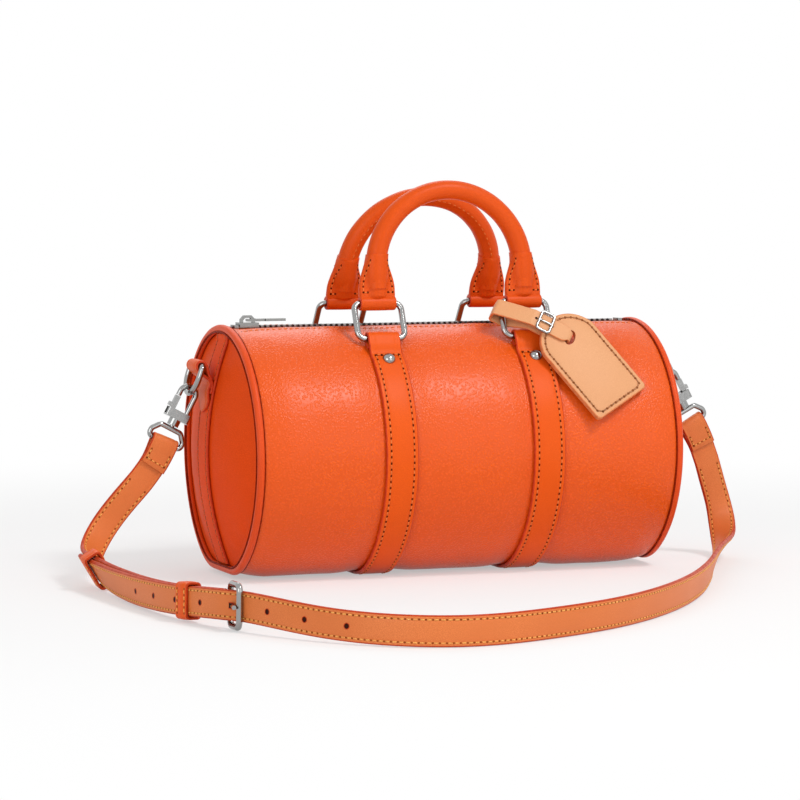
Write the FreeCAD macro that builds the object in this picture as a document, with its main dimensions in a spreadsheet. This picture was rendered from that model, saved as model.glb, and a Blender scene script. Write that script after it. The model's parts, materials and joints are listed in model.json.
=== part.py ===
import FreeCAD, Part
import math
import os
import Sketcher
from FreeCAD import Placement, Rotation, Vector

# A leather barrel bag on its own floor: +X along the barrel, -Y the front, +Z up, in mm.
# The barrel is drawn about its own axis, and each piece is then lifted by the height of that axis.

doc = FreeCAD.newDocument("barrel_bag")

SIZES = {
    # barrel
    "shell_length": 243.0,
    "shell_radius": 70.2,
    "shell_wall": 2.0,
    "base_press": 3.9,
    "corner_radius": 16.0,
    "lining_wall": 0.6,
    "slip": 0.08,
    "board_gap": 14.5,
    "board_width": 34.0,
    "board_thick": 1.8,
    # end panels
    "bead_radius": 2.6,
    "panel_wall": 2.0,
    "panel_rise": 11.5,
    "rim_width": 3.0,
    "strip_width": 18.6,
    "strip_thick": 1.5,
    # zip fastener
    "slit_width": 9.6,
    "tape_reach": 12.0,
    "tape_thick": 0.8,
    "tape_gap": 1.8,
    "tooth_pitch": 3.2,
    "tooth_length": 1.35,
    "tooth_reach": 0.9,
    "tooth_height": 1.6,
    "stop_at": 5.0,
    "stop_length": 2.4,
    "stop_width": 7.6,
    "stop_height": 2.2,
    "first_tooth": 14.0,
    "slider_at": 13.5,
    "slider_length": 11.0,
    "slider_width": 8.4,
    "slider_plate": 1.2,
    "pull_length": 21.0,
    "pull_width": 4.6,
    # bands and their rings
    "band_thick": 2.2,
    "band_width": 18.4,
    "band_offset": 43.0,
    "ring_angle": 31.5,
    "rivet_angle": 43.5,
    "rivet_radius": 4.0,
    "rivet_rise": 2.0,
    "ring_wire": 3.4,
    "ring_depth": 24.0,
    "ring_corner": 4.0,
    "front_ring_lean": 24.0,
    "back_ring_lean": 36.0,
    "loop_gap": 0.35,
    # handles
    "handle_radius": 5.8,
    "core_radius": 4.0,
    "handle_leg": 19.0,
    "front_handle_lean": 4.0,
    "back_handle_lean": 16.0,
    "tab_width": 21.0,
    "tab_gap": 1.35,
    "tab_height": 27.0,
    "tab_thick": 4.0,
    "tab_wall": 1.8,
    # clips at the ends
    "fold_out": 15.5,
    "fold_drop": 17.2,
    "ring_hang_left": 18.0,
    "ring_hang_right": 34.0,
    "hook_lean_left": 28.0,
    "hook_lean_right": 28.0,
    "d_wire": 3.2,
    "d_half": 11.2,
    "d_leg": 4.4,
    "end_tab_width": 18.5,
    "end_tab_wall": 1.8,
    "end_tab_drop": 26.0,
    "hook_wire": 3.0,
    "hook_half": 4.6,
    "hook_length": 10.2,
    "block_height": 5.0,
    "block_half": 7.0,
    "block_thick": 6.0,
    "barrel_radius": 3.3,
    "barrel_height": 3.8,
    "swivel_wire": 3.0,
    "swivel_half": 9.9,
    "swivel_depth": 8.4,
    # shoulder strap
    "strap_width": 15.4,
    "strap_thick": 2.6,
    "layer_step": 3.0,
    "buckle_at": 284.0,
    "tip_at": 84.0,
    "fixed_keeper_at": 250.0,
    "loose_keeper_at": 112.0,
    "keeper_width": 11.0,
    "keeper_wall": 1.4,
    "buckle_wire": 3.2,
    "buckle_length": 14.0,
    "buckle_height": 24.0,
    "hole_pitch": 25.0,
    "hole_radius": 1.5,
    # luggage tag
    "tag_width": 38.0,
    "tag_straight": 47.0,
    "tag_bow": 15.0,
    "tag_slot": 2.0,
    "tag_shift": 43.0,
    "tag_hang": 13.0,
    "tag_layer": 1.5,
    "tag_angle": 60.0,
    "tag_stand": 4.8,
    "tag_turn": 31.0,
    "tag_strap_width": 10.5,
    "tag_strap_wall": 1.3,
    "tag_buckle_wire": 1.6,
}

sizes = doc.addObject("Spreadsheet::Sheet", "sizes")
for row, (alias, number) in enumerate(SIZES.items(), start=1):
    sizes.set("A%d" % row, alias)
    sizes.set("B%d" % row, str(number))
    sizes.setAlias("B%d" % row, alias)
doc.recompute()


def size(alias):
    return float(sizes.get(alias))


parts = []


def keep(thing, label, place=None):
    """Give a finished piece its node name and place, and list it for writing."""
    thing.Label = label
    if place is not None:
        thing.Placement = place
    parts.append(thing)
    return thing


def bind(thing, **wanted):
    for prop, text in wanted.items():
        thing.setExpression(prop, text)


def new_body(name):
    return doc.addObject("PartDesign::Body", name)


def new_sketch(body, name, role, offset=None):
    sketch = body.newObject("Sketcher::SketchObject", name)
    plane = [f for f in body.Origin.OriginFeatures if f.Role == role][0]
    sketch.AttachmentSupport = [(plane, "")]
    sketch.MapMode = "FlatFace"
    if offset is not None:
        sketch.AttachmentOffset = offset
    return sketch


def hold(sketch, *constraint):
    return sketch.addConstraint(Sketcher.Constraint(*constraint))


def drive(sketch, text, *constraint):
    """A dimension on a sketch, bound to cells of the sheet."""
    index = hold(sketch, *constraint)
    sketch.setExpression("Constraints[%d]" % index, text)


def circle(sketch, x, y, radius, text, x_text=None, y_text=None):
    g = sketch.addGeometry(Part.Circle(Vector(x, y, 0), Vector(0, 0, 1), radius))
    drive(sketch, text, "Radius", g, radius)
    if abs(x) < 1e-9:
        hold(sketch, "PointOnObject", g, 3, -2)
    else:
        drive(sketch, x_text or "%r" % x, "DistanceX", -1, 1, g, 3, x)
    if abs(y) < 1e-9:
        hold(sketch, "PointOnObject", g, 3, -1)
    else:
        drive(sketch, y_text or "%r" % y, "DistanceY", -1, 1, g, 3, y)
    return g


def rectangle(sketch, left, bottom, right, top, texts):
    """A box in a sketch; texts are the expressions for left, bottom, right and top."""
    corners = [(left, bottom), (right, bottom), (right, top), (left, top)]
    lines = []
    for k in range(4):
        a = Vector(*corners[k], 0)
        b = Vector(*corners[(k + 1) % 4], 0)
        lines.append(sketch.addGeometry(Part.LineSegment(a, b)))
    for k in range(4):
        hold(sketch, "Coincident", lines[k], 2, lines[(k + 1) % 4], 1)
    for k in (0, 2):
        hold(sketch, "Horizontal", lines[k])
        hold(sketch, "Vertical", lines[k + 1])
    drive(sketch, texts[0], "DistanceX", -1, 1, lines[0], 1, left)
    drive(sketch, texts[1], "DistanceY", -1, 1, lines[0], 1, bottom)
    drive(sketch, texts[2], "DistanceX", -1, 1, lines[2], 1, right)
    drive(sketch, texts[3], "DistanceY", -1, 1, lines[2], 1, top)


def polygon(sketch, points):
    """Straight edges through fixed points, closed."""
    lines = []
    for k, point in enumerate(points):
        a = Vector(*point, 0)
        b = Vector(*points[(k + 1) % len(points)], 0)
        lines.append(sketch.addGeometry(Part.LineSegment(a, b)))
    for k in range(len(lines)):
        hold(sketch, "Coincident", lines[k], 2, lines[(k + 1) % len(lines)], 1)
    for k, point in enumerate(points):
        hold(sketch, "DistanceX", -1, 1, lines[k], 1, point[0])
        hold(sketch, "DistanceY", -1, 1, lines[k], 1, point[1])


def barrel_outline(sketch, extra, text):
    """The barrel's section, a circle with a flat under it and eased corners, grown by `extra`."""
    radius = size("shell_radius") + extra
    drop = size("shell_radius") - size("base_press") + extra
    ease = size("corner_radius") + extra
    reach = math.sqrt((radius - ease) ** 2 - (drop - ease) ** 2)
    turn = math.atan2(-(drop - ease), reach)
    axis = Vector(0, 0, 1)
    big = Part.ArcOfCircle(Part.Circle(Vector(0, 0, 0), axis, radius), turn, math.pi - turn)
    left = Part.ArcOfCircle(
        Part.Circle(Vector(-reach, ease - drop, 0), axis, ease), math.pi - turn, 1.5 * math.pi
    )
    flat = Part.LineSegment(Vector(-reach, -drop, 0), Vector(reach, -drop, 0))
    right = Part.ArcOfCircle(
        Part.Circle(Vector(reach, ease - drop, 0), axis, ease), -0.5 * math.pi, turn
    )
    g = [sketch.addGeometry(item) for item in (big, left, flat, right)]
    for k in range(4):
        hold(sketch, "Tangent", g[k], 2, g[(k + 1) % 4], 1)
    hold(sketch, "Coincident", g[0], 3, -1, 1)
    drive(sketch, "sizes.shell_radius + (%s)" % text, "Radius", g[0], radius)
    drive(sketch, "sizes.corner_radius + (%s)" % text, "Radius", g[1], ease)
    hold(sketch, "Equal", g[1], g[3])
    drive(sketch, "sizes.base_press - sizes.shell_radius - (%s)" % text, "DistanceY", -1, 1, g[2], 1, -drop)


def pad(body, sketch, text, name, both=True):
    """Thicken a sketch; `both` spreads it evenly to the two sides of its plane."""
    feature = body.newObject("PartDesign::Pad", name)
    feature.Profile = sketch
    feature.Midplane = both
    feature.setExpression("Length", text)
    sketch.Visibility = False
    doc.recompute()
    return feature


def pocket(body, sketch, text, name, both=True):
    feature = body.newObject("PartDesign::Pocket", name)
    feature.Profile = sketch
    feature.Midplane = both
    feature.setExpression("Length", text)
    sketch.Visibility = False
    doc.recompute()
    return feature


def barrel_prism(name, extra, text, length_text):
    body = new_body(name)
    sketch = new_sketch(body, name + "_section", "YZ_Plane")
    barrel_outline(sketch, extra, text)
    pad(body, sketch, length_text, name + "_pad")
    return body


def shape_of(label, shape, place=None):
    """A piece made with shape functions, its sizes already read from the sheet."""
    feature = doc.addObject("Part::Feature", label)
    feature.Shape = shape
    if place is not None:
        place = place.multiply(shape.Placement)
    return keep(feature, label, place)


AXIS_HEIGHT = size("shell_radius") - size("base_press") + size("band_thick")
LIFT = Placement(Vector(0, 0, AXIS_HEIGHT), Rotation())
HALF = size("shell_length") / 2
RADIUS = size("shell_radius")
LONG = "sizes.shell_length + 2 * sizes.panel_rise + 40"


def lifted(thing, label):
    keep(thing, label, LIFT)
    thing.setExpression("Placement.Base.z", "sizes.shell_radius - sizes.base_press + sizes.band_thick")
    return thing


# Barrel shell, lining and base board

shell = barrel_prism("barrel_shell", 0.0, "0", "sizes.shell_length")
bore = new_sketch(shell, "shell_bore", "YZ_Plane")
barrel_outline(bore, -size("shell_wall"), "-sizes.shell_wall")
pocket(shell, bore, LONG, "shell_hollow")
slit = new_sketch(shell, "shell_slit", "YZ_Plane")
slit_half = size("slit_width") / 2
rectangle(
    slit,
    -slit_half,
    RADIUS / 2,
    slit_half,
    RADIUS + 5,
    ["-sizes.slit_width / 2", "sizes.shell_radius / 2", "sizes.slit_width / 2", "sizes.shell_radius + 5"],
)
pocket(shell, slit, LONG, "shell_opening")
lifted(shell, "barrel_shell")

lining_out = size("shell_wall") + size("slip")
lining = barrel_prism("lining", -lining_out, "-sizes.shell_wall - sizes.slip", "sizes.shell_length - 8")
lining_bore = new_sketch(lining, "lining_bore", "YZ_Plane")
lining_in = lining_out + size("lining_wall")
barrel_outline(lining_bore, -lining_in, "-sizes.shell_wall - sizes.slip - sizes.lining_wall")
pocket(lining, lining_bore, LONG, "lining_hollow")
lining_slit = new_sketch(lining, "lining_slit", "YZ_Plane")
rectangle(
    lining_slit,
    -size("tape_reach"),
    RADIUS / 2,
    size("tape_reach"),
    RADIUS + 5,
    ["-sizes.tape_reach", "sizes.shell_radius / 2", "sizes.tape_reach", "sizes.shell_radius + 5"],
)
pocket(lining, lining_slit, LONG, "lining_opening")
lifted(lining, "lining")

board = new_body("base_board")
board_plan = new_sketch(board, "board_plan", "XY_Plane")
rectangle(
    board_plan,
    size("board_gap") - HALF,
    -size("board_width") / 2,
    HALF - size("board_gap"),
    size("board_width") / 2,
    [
        "sizes.board_gap - sizes.shell_length / 2",
        "-sizes.board_width / 2",
        "sizes.shell_length / 2 - sizes.board_gap",
        "sizes.board_width / 2",
    ],
)
pad(board, board_plan, "sizes.board_thick", "board_pad", both=False)
board_rest = "sizes.band_thick + sizes.shell_wall + sizes.slip + sizes.lining_wall"
board.setExpression("Placement.Base.z", board_rest)
keep(board, "base_board")

# End panels: a domed leather disc, a round bead over its seam and a strip down its middle

RIM = RADIUS - size("shell_wall") - size("rim_width")
RISE = size("panel_rise")
REACH = RIM - 4.6


def dome_arc(base, rise, reach):
    """An arc in the XZ plane from the rim up to the middle of a dome."""
    bulge = (reach**2 + rise**2) / (2 * rise)
    turn = math.asin(reach / bulge) / 2
    middle = Vector(base + rise - bulge + bulge * math.cos(turn), 0, bulge * math.sin(turn))
    return Part.Arc(Vector(base, 0, reach), middle, Vector(base + rise, 0, 0)).toShape()


def line(a, b):
    return Part.LineSegment(a, b).toShape()


def dome(inner, outer, reach, flat):
    """A domed sheet turned about the barrel's axis, between two heights, with a flat rim."""
    edges = [
        dome_arc(HALF + outer, RISE, reach),
        line(Vector(HALF + outer + RISE, 0, 0), Vector(HALF + inner + RISE, 0, 0)),
        dome_arc(HALF + inner, RISE, reach).reversed(),
        line(Vector(HALF + inner, 0, reach), Vector(HALF + inner, 0, flat)),
        line(Vector(HALF + inner, 0, flat), Vector(HALF + outer, 0, flat)),
        line(Vector(HALF + outer, 0, flat), Vector(HALF + outer, 0, reach)),
    ]
    face = Part.Face(Part.Wire(Part.__sortEdges__(edges)))
    return face.revolve(Vector(0, 0, 0), Vector(1, 0, 0), 360)


def mirror(shape):
    return shape.mirror(Vector(0, 0, 0), Vector(1, 0, 0))


inside = barrel_prism("panel_edge", -lining_out, "-sizes.shell_wall - sizes.slip", LONG)
panel_shape = dome(-size("panel_wall"), 0.0, REACH, RADIUS + 10).common(inside.Shape)
strip_box = Part.makeBox(
    60, size("strip_width"), 2 * RADIUS, Vector(HALF - 10, -size("strip_width") / 2, -RADIUS)
)
strip_rim = barrel_prism(
    "strip_rim", RIM - RADIUS - 0.4, "-sizes.shell_wall - sizes.rim_width - 0.4", LONG
)
strip_shape = dome(size("slip"), size("strip_thick"), REACH, RADIUS + 10).common(strip_box)
strip_shape = strip_shape.common(strip_rim.Shape)
solid_dome = dome(-30.0, size("strip_thick") + size("slip"), REACH, RADIUS + 10)

bead = new_body("piping")
bead_path = new_sketch(bead, "bead_path", "YZ_Plane", Placement(Vector(0, 0, HALF), Rotation()))
bead_path.setExpression("AttachmentOffset.Base.z", "sizes.shell_length / 2")
barrel_outline(bead_path, -size("bead_radius"), "-sizes.bead_radius")
bead_round = new_sketch(bead, "bead_round", "XZ_Plane")
bead_mid = RADIUS - size("bead_radius")
half_round = Part.ArcOfCircle(
    Part.Circle(Vector(HALF, bead_mid, 0), Vector(0, 0, 1), size("bead_radius")),
    -math.pi / 2,
    math.pi / 2,
)
g0 = bead_round.addGeometry(half_round)
g1 = bead_round.addGeometry(Part.LineSegment(half_round.EndPoint, half_round.StartPoint))
hold(bead_round, "Coincident", g0, 2, g1, 1)
hold(bead_round, "Coincident", g1, 2, g0, 1)
hold(bead_round, "PointOnObject", g0, 3, g1)
hold(bead_round, "Vertical", g1)
drive(bead_round, "sizes.bead_radius", "Radius", g0, size("bead_radius"))
drive(bead_round, "sizes.shell_length / 2", "DistanceX", -1, 1, g0, 3, HALF)
drive(bead_round, "sizes.shell_radius - sizes.bead_radius", "DistanceY", -1, 1, g0, 3, bead_mid)
doc.recompute()
bead_sweep = bead.newObject("PartDesign::AdditivePipe", "bead_sweep")
bead_sweep.Profile = bead_round
bead_sweep.Spine = (bead_path, ["Edge1", "Edge2", "Edge3", "Edge4"])
bead_path.Visibility = False
bead_round.Visibility = False
doc.recompute()
lifted(bead, "piping_right")
shape_of("piping_left", mirror(bead_sweep.Shape), LIFT)
for side, flip in (("right", False), ("left", True)):
    shape_of("end_panel_" + side, mirror(panel_shape) if flip else panel_shape, LIFT)
    shape_of("end_strip_" + side, mirror(strip_shape) if flip else strip_shape, LIFT)

# Zip fastener: two tapes under the slit, closed teeth, end stops and a slider

TAPE_TOP = RADIUS - lining_out
TAPE_LENGTH = size("shell_length") - 8.0
for side, sign in (("front", -1), ("back", 1)):
    outer = doc.addObject("Part::Cylinder", "tape_outer_" + side)
    bind(outer, Radius="sizes.shell_radius - sizes.shell_wall - sizes.slip", Height="sizes.shell_length - 8")
    inner = doc.addObject("Part::Cylinder", "tape_inner_" + side)
    bind(
        inner,
        Radius="sizes.shell_radius - sizes.shell_wall - sizes.slip - sizes.tape_thick",
        Height="sizes.shell_length - 8",
    )
    for cylinder in (outer, inner):
        cylinder.Placement = Placement(Vector(-TAPE_LENGTH / 2, 0, 0), Rotation(Vector(0, 1, 0), 90))
        cylinder.setExpression("Placement.Base.x", "4 - sizes.shell_length / 2")
    tube = doc.addObject("Part::Cut", "tape_tube_" + side)
    tube.Base = outer
    tube.Tool = inner
    span = doc.addObject("Part::Box", "tape_span_" + side)
    bind(
        span,
        Length="sizes.shell_length",
        Width="sizes.tape_reach - 0.05 - sizes.tape_gap",
        Height="sizes.shell_radius",
    )
    near = size("tape_gap") if sign > 0 else 0.05 - size("tape_reach")
    span.Placement = Placement(Vector(-HALF, near, RADIUS / 3), Rotation())
    near_text = "sizes.tape_gap" if sign > 0 else "0.05 - sizes.tape_reach"
    bind(span, **{"Placement.Base.x": "-sizes.shell_length / 2", "Placement.Base.y": near_text})
    tape = doc.addObject("Part::Common", "tape_" + side)
    tape.Base = tube
    tape.Tool = span
    lifted(tape, "zipper_tape_" + side)

pitch = size("tooth_pitch")
tooth_z = math.sqrt(TAPE_TOP**2 - (size("tape_gap") + 1.6) ** 2)
first = size("first_tooth") - HALF
count = int((2 * HALF - size("first_tooth") - 2 * size("stop_at")) / pitch)
for side, sign in (("front", -1), ("back", 1)):
    blocks = []
    for k in range(count):
        x = first + pitch * (k + (0.0 if sign < 0 else 0.5))
        low = -size("tape_gap") - 1.6 if sign < 0 else -size("tooth_reach")
        width = size("tape_gap") + 1.6 + size("tooth_reach")
        corner = Vector(x, low, tooth_z)
        tooth = Part.makeBox(size("tooth_length"), width, size("tooth_height"), corner)
        bed = Part.makeCylinder(
            TAPE_TOP + size("slip"), size("tooth_length") + 2, Vector(x - 1, 0, 0), Vector(1, 0, 0)
        )
        blocks.append(tooth.cut(bed))
    shape_of("zipper_teeth_" + side, Part.Compound(blocks), LIFT)

stops = []
stop_long = size("stop_length")
stop_wide = size("stop_width")
for x in (size("stop_at") - HALF, first + pitch * (count + 0.5) + 0.6):
    corner = Vector(x, -stop_wide / 2, TAPE_TOP - 0.4)
    block = Part.makeBox(stop_long, stop_wide, size("stop_height"), corner)
    bed = Part.makeCylinder(TAPE_TOP + size("slip"), stop_long + 2, Vector(x - 1, 0, 0), Vector(1, 0, 0))
    stops.append(block.cut(bed))
shape_of("zipper_stops", Part.Compound(stops), LIFT)

# The slider straddles the closed teeth: a top plate with two flanges and an arched bridge for the pull.
SLIDER_X = size("slider_at") - HALF
plate_z = tooth_z + size("tooth_height") + 0.35
slider = new_body("zipper_slider")
slider_section = new_sketch(slider, "slider_section", "YZ_Plane")
half_w = size("slider_width") / 2
thick = size("slider_plate")
skirt = TAPE_TOP + 0.35
polygon(
    slider_section,
    [
        (-half_w, skirt),
        (-half_w + 0.7, skirt),
        (-half_w + 0.7, plate_z),
        (half_w - 0.7, plate_z),
        (half_w - 0.7, skirt),
        (half_w, skirt),
        (half_w, plate_z + thick),
        (-half_w, plate_z + thick),
    ],
)
pad(slider, slider_section, "sizes.slider_length", "slider_plate_pad")
bridge = new_sketch(slider, "slider_bridge", "XZ_Plane")
crown = plate_z + thick
polygon(
    bridge,
    [
        (-4.2, crown - 0.5),
        (-2.6, crown - 0.5),
        (-2.6, crown + 1.2),
        (-1.4, crown + 2.5),
        (1.4, crown + 2.5),
        (2.6, crown + 1.2),
        (2.6, crown - 0.5),
        (4.2, crown - 0.5),
        (4.2, crown + 1.8),
        (2.2, crown + 3.9),
        (-2.2, crown + 3.9),
        (-4.2, crown + 1.8),
    ],
)
pad(slider, bridge, "2.2", "slider_bridge_pad")
keep(slider, "zipper_slider", Placement(Vector(SLIDER_X, 0, AXIS_HEIGHT), Rotation()))
slider.setExpression("Placement.Base.x", "sizes.slider_at - sizes.shell_length / 2")

# The pull is a small frame round the bridge and a flat tab, lying along the zip.
pull = new_body("zipper_pull")
pull_plan = new_sketch(pull, "pull_plan", "XY_Plane")
reach = size("pull_length")
wide = size("pull_width") / 2
rectangle(
    pull_plan,
    -0.9,
    -wide,
    reach,
    wide,
    ["-0.9", "-sizes.pull_width / 2", "sizes.pull_length", "sizes.pull_width / 2"],
)
pad(pull, pull_plan, "1.4", "pull_pad")
pull_window = new_sketch(pull, "pull_window", "XY_Plane")
rectangle(pull_window, 0.9, -1.5, 4.4, 1.5, ["0.9", "-1.5", "4.4", "1.5"])
pocket(pull, pull_window, "8", "pull_hole")
pull_waist = new_sketch(pull, "pull_waist", "XY_Plane")
rectangle(pull_waist, 6.4, 1.3, 9.4, 6.0, ["6.4", "1.3", "9.4", "6"])
rectangle(pull_waist, 6.4, -6.0, 9.4, -1.3, ["6.4", "-6", "9.4", "-1.3"])
pocket(pull, pull_waist, "8", "pull_waist_cut")
pull_pivot = Vector(SLIDER_X + 0.6, 0, AXIS_HEIGHT + crown + 1.25)
keep(pull, "zipper_pull", Placement(pull_pivot, Rotation()))

# Bands round the barrel, each with a folded loop at the front and at the back

RING_WIDTH = size("tab_width") + 2 * size("ring_wire") + 2 * size("tab_gap")
LOOP_IN = size("ring_wire") / 2 + size("loop_gap")
LOOP_OUT = LOOP_IN + size("tab_wall")
BAR = RADIUS + LOOP_OUT
ring_turn = math.radians(size("ring_angle"))
bar_y = BAR * math.sin(ring_turn)
bar_z = BAR * math.cos(ring_turn)
bar_out = "(sizes.shell_radius + sizes.ring_wire / 2 + sizes.loop_gap + sizes.tab_wall)"
bar_y_text = bar_out + " * sin(sizes.ring_angle * 1 deg)"
bar_z_text = bar_out + " * cos(sizes.ring_angle * 1 deg)"

for side, sign in (("left", -1), ("right", 1)):
    name = "band_" + side
    band = barrel_prism(name, size("band_thick"), "sizes.band_thick", "sizes.band_width")
    top = new_sketch(band, name + "_top", "YZ_Plane")
    far = RADIUS + 20
    polygon(
        top,
        [
            (0.0, 0.0),
            (far * math.tan(ring_turn), far),
            (-far * math.tan(ring_turn), far),
        ],
    )
    pocket(band, top, LONG, name + "_gap")
    loops = new_sketch(band, name + "_loops", "YZ_Plane")
    loop_text = "sizes.ring_wire / 2 + sizes.loop_gap + sizes.tab_wall"
    circle(loops, -bar_y, bar_z, LOOP_OUT, loop_text, "-" + bar_y_text, bar_z_text)
    circle(loops, bar_y, bar_z, LOOP_OUT, loop_text, bar_y_text, bar_z_text)
    pad(band, loops, "sizes.band_width", name + "_loop_pad")
    hollow = new_sketch(band, name + "_bore", "YZ_Plane")
    barrel_outline(hollow, size("slip"), "sizes.slip")
    pocket(band, hollow, LONG, name + "_hollow")
    eyes = new_sketch(band, name + "_eyes", "YZ_Plane")
    eye_text = "sizes.ring_wire / 2 + sizes.loop_gap"
    circle(eyes, -bar_y, bar_z, LOOP_IN, eye_text, "-" + bar_y_text, bar_z_text)
    circle(eyes, bar_y, bar_z, LOOP_IN, eye_text, bar_y_text, bar_z_text)
    pocket(band, eyes, LONG, name + "_eye_cut")
    lifted(band, name)
    band.setExpression("Placement.Base.x", "%d * sizes.band_offset" % sign)

# Rivets: a low dome on each band below its loop, cut to sit on the band's round face.
seat = RADIUS + size("band_thick") + size("slip")
seat_rod = Part.makeCylinder(seat, 400, Vector(-200, 0, 0), Vector(1, 0, 0))
rivets = []
ball = (size("rivet_radius") ** 2 + size("rivet_rise") ** 2) / (2 * size("rivet_rise"))
for sign in (-1, 1):
    for face in (-1, 1):
        turn = math.radians(size("rivet_angle"))
        out = Vector(0, face * math.sin(turn), math.cos(turn))
        at = Vector(sign * size("band_offset"), 0, 0)
        sphere = Part.makeSphere(ball, at + out * (seat + size("rivet_rise") - ball))
        shank = Part.makeCylinder(size("rivet_radius"), 8, at + out * (seat - 3), out)
        rivets.append(sphere.common(shank).cut(seat_rod))
shape_of("band_rivets", Part.Compound(rivets), LIFT)

# Handle rings: a round wire bent to a rounded rectangle


def round_path(sketch, half_x, half_y, corner, texts):
    """A rounded rectangle about the sketch's origin; texts are for half width, half height and corner."""
    axis = Vector(0, 0, 1)
    x = half_x - corner
    y = half_y - corner
    quarter = math.pi / 2
    geometry = [
        Part.LineSegment(Vector(-x, -half_y, 0), Vector(x, -half_y, 0)),
        Part.ArcOfCircle(Part.Circle(Vector(x, -y, 0), axis, corner), -quarter, 0),
        Part.LineSegment(Vector(half_x, -y, 0), Vector(half_x, y, 0)),
        Part.ArcOfCircle(Part.Circle(Vector(x, y, 0), axis, corner), 0, quarter),
        Part.LineSegment(Vector(x, half_y, 0), Vector(-x, half_y, 0)),
        Part.ArcOfCircle(Part.Circle(Vector(-x, y, 0), axis, corner), quarter, 2 * quarter),
        Part.LineSegment(Vector(-half_x, y, 0), Vector(-half_x, -y, 0)),
        Part.ArcOfCircle(Part.Circle(Vector(-x, -y, 0), axis, corner), 2 * quarter, 3 * quarter),
    ]
    g = [sketch.addGeometry(item) for item in geometry]
    for k in range(8):
        hold(sketch, "Tangent", g[k], 2, g[(k + 1) % 8], 1)
    hold(sketch, "Horizontal", g[4])
    hold(sketch, "Vertical", g[2])
    hold(sketch, "Vertical", g[6])
    for k in (3, 5, 7):
        hold(sketch, "Equal", g[1], g[k])
    drive(sketch, texts[2], "Radius", g[1], corner)
    hold(sketch, "Symmetric", g[0], 1, g[0], 2, -2)
    drive(sketch, texts[0], "DistanceX", -1, 1, g[2], 1, half_x)
    drive(sketch, "-(%s)" % texts[1], "DistanceY", -1, 1, g[0], 1, -half_y)
    drive(sketch, texts[1], "DistanceY", -1, 1, g[4], 1, half_y)


def wire_frame(name, half_x, half_y, corner, wire, texts, wire_text):
    """A closed round-wire frame in the XZ plane of its own body."""
    body = new_body(name)
    path = new_sketch(body, name + "_path", "XZ_Plane")
    round_path(path, half_x, half_y, corner, texts)
    section = new_sketch(body, name + "_wire", "YZ_Plane")
    circle(section, 0, -half_y, wire / 2, wire_text + " / 2", None, "-(%s)" % texts[1])
    doc.recompute()
    sweep = body.newObject("PartDesign::AdditivePipe", name + "_sweep")
    sweep.Profile = section
    sweep.Spine = (path, ["Edge%d" % k for k in range(1, 9)])
    path.Visibility = False
    section.Visibility = False
    doc.recompute()
    return body


RING_HALF = (size("ring_depth") - size("ring_wire")) / 2
ring_texts = [
    "((sizes.tab_width + 2 * sizes.ring_wire + 2 * sizes.tab_gap) - sizes.ring_wire) / 2",
    "(sizes.ring_depth - sizes.ring_wire) / 2",
    "sizes.ring_corner",
]
ring_tops = {}
for face in ("front", "back"):
    lean = math.radians(size(face + "_ring_lean"))
    ring_tops[face] = (bar_y - 2 * RING_HALF * math.sin(lean), bar_z + 2 * RING_HALF * math.cos(lean))
for face, face_sign in (("front", -1), ("back", 1)):
    top_y, top_z = ring_tops[face]
    for side, sign in (("left", -1), ("right", 1)):
        ring = wire_frame(
            "ring_%s_%s" % (face, side),
            (RING_WIDTH - size("ring_wire")) / 2,
            RING_HALF,
            size("ring_corner"),
            size("ring_wire"),
            ring_texts,
            "sizes.ring_wire",
        )
        middle = Vector(
            sign * size("band_offset"), face_sign * (bar_y + top_y) / 2, AXIS_HEIGHT + (bar_z + top_z) / 2
        )
        turn = Rotation(Vector(1, 0, 0), face_sign * size(face + "_ring_lean"))
        keep(ring, "ring_%s_%s" % (face, side), Placement(middle, turn))

# Handles: a leather tube on a cord core, with a flat tab folded round each upper bar

LEG = size("handle_leg")
ARCH = size("band_offset")
FOOT = LOOP_OUT + 0.02


def arch(name, radius_text):
    """A standing tube: two straight legs and a half circle over them."""
    pieces = []
    for sign in (-1, 1):
        leg = doc.addObject("Part::Cylinder", "%s_leg_%s" % (name, "left" if sign < 0 else "right"))
        bind(leg, Radius=radius_text)
        bind(leg, Height="sizes.handle_leg - sizes.ring_wire / 2 - sizes.loop_gap - sizes.tab_wall - 0.02")
        leg.Placement = Placement(Vector(sign * ARCH, 0, FOOT), Rotation())
        bind(leg, **{"Placement.Base.x": "%d * sizes.band_offset" % sign})
        pieces.append(leg)
    bow = doc.addObject("Part::Torus", name + "_bow")
    bind(bow, Radius1="sizes.band_offset", Radius2=radius_text)
    bow.Angle3 = 180
    bow.Placement = Placement(Vector(0, 0, LEG), Rotation(Vector(1, 0, 0), 90))
    bow.setExpression("Placement.Base.z", "sizes.handle_leg")
    whole = doc.addObject("Part::MultiFuse", name)
    whole.Shapes = pieces + [bow]
    whole.Refine = True
    return whole


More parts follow.
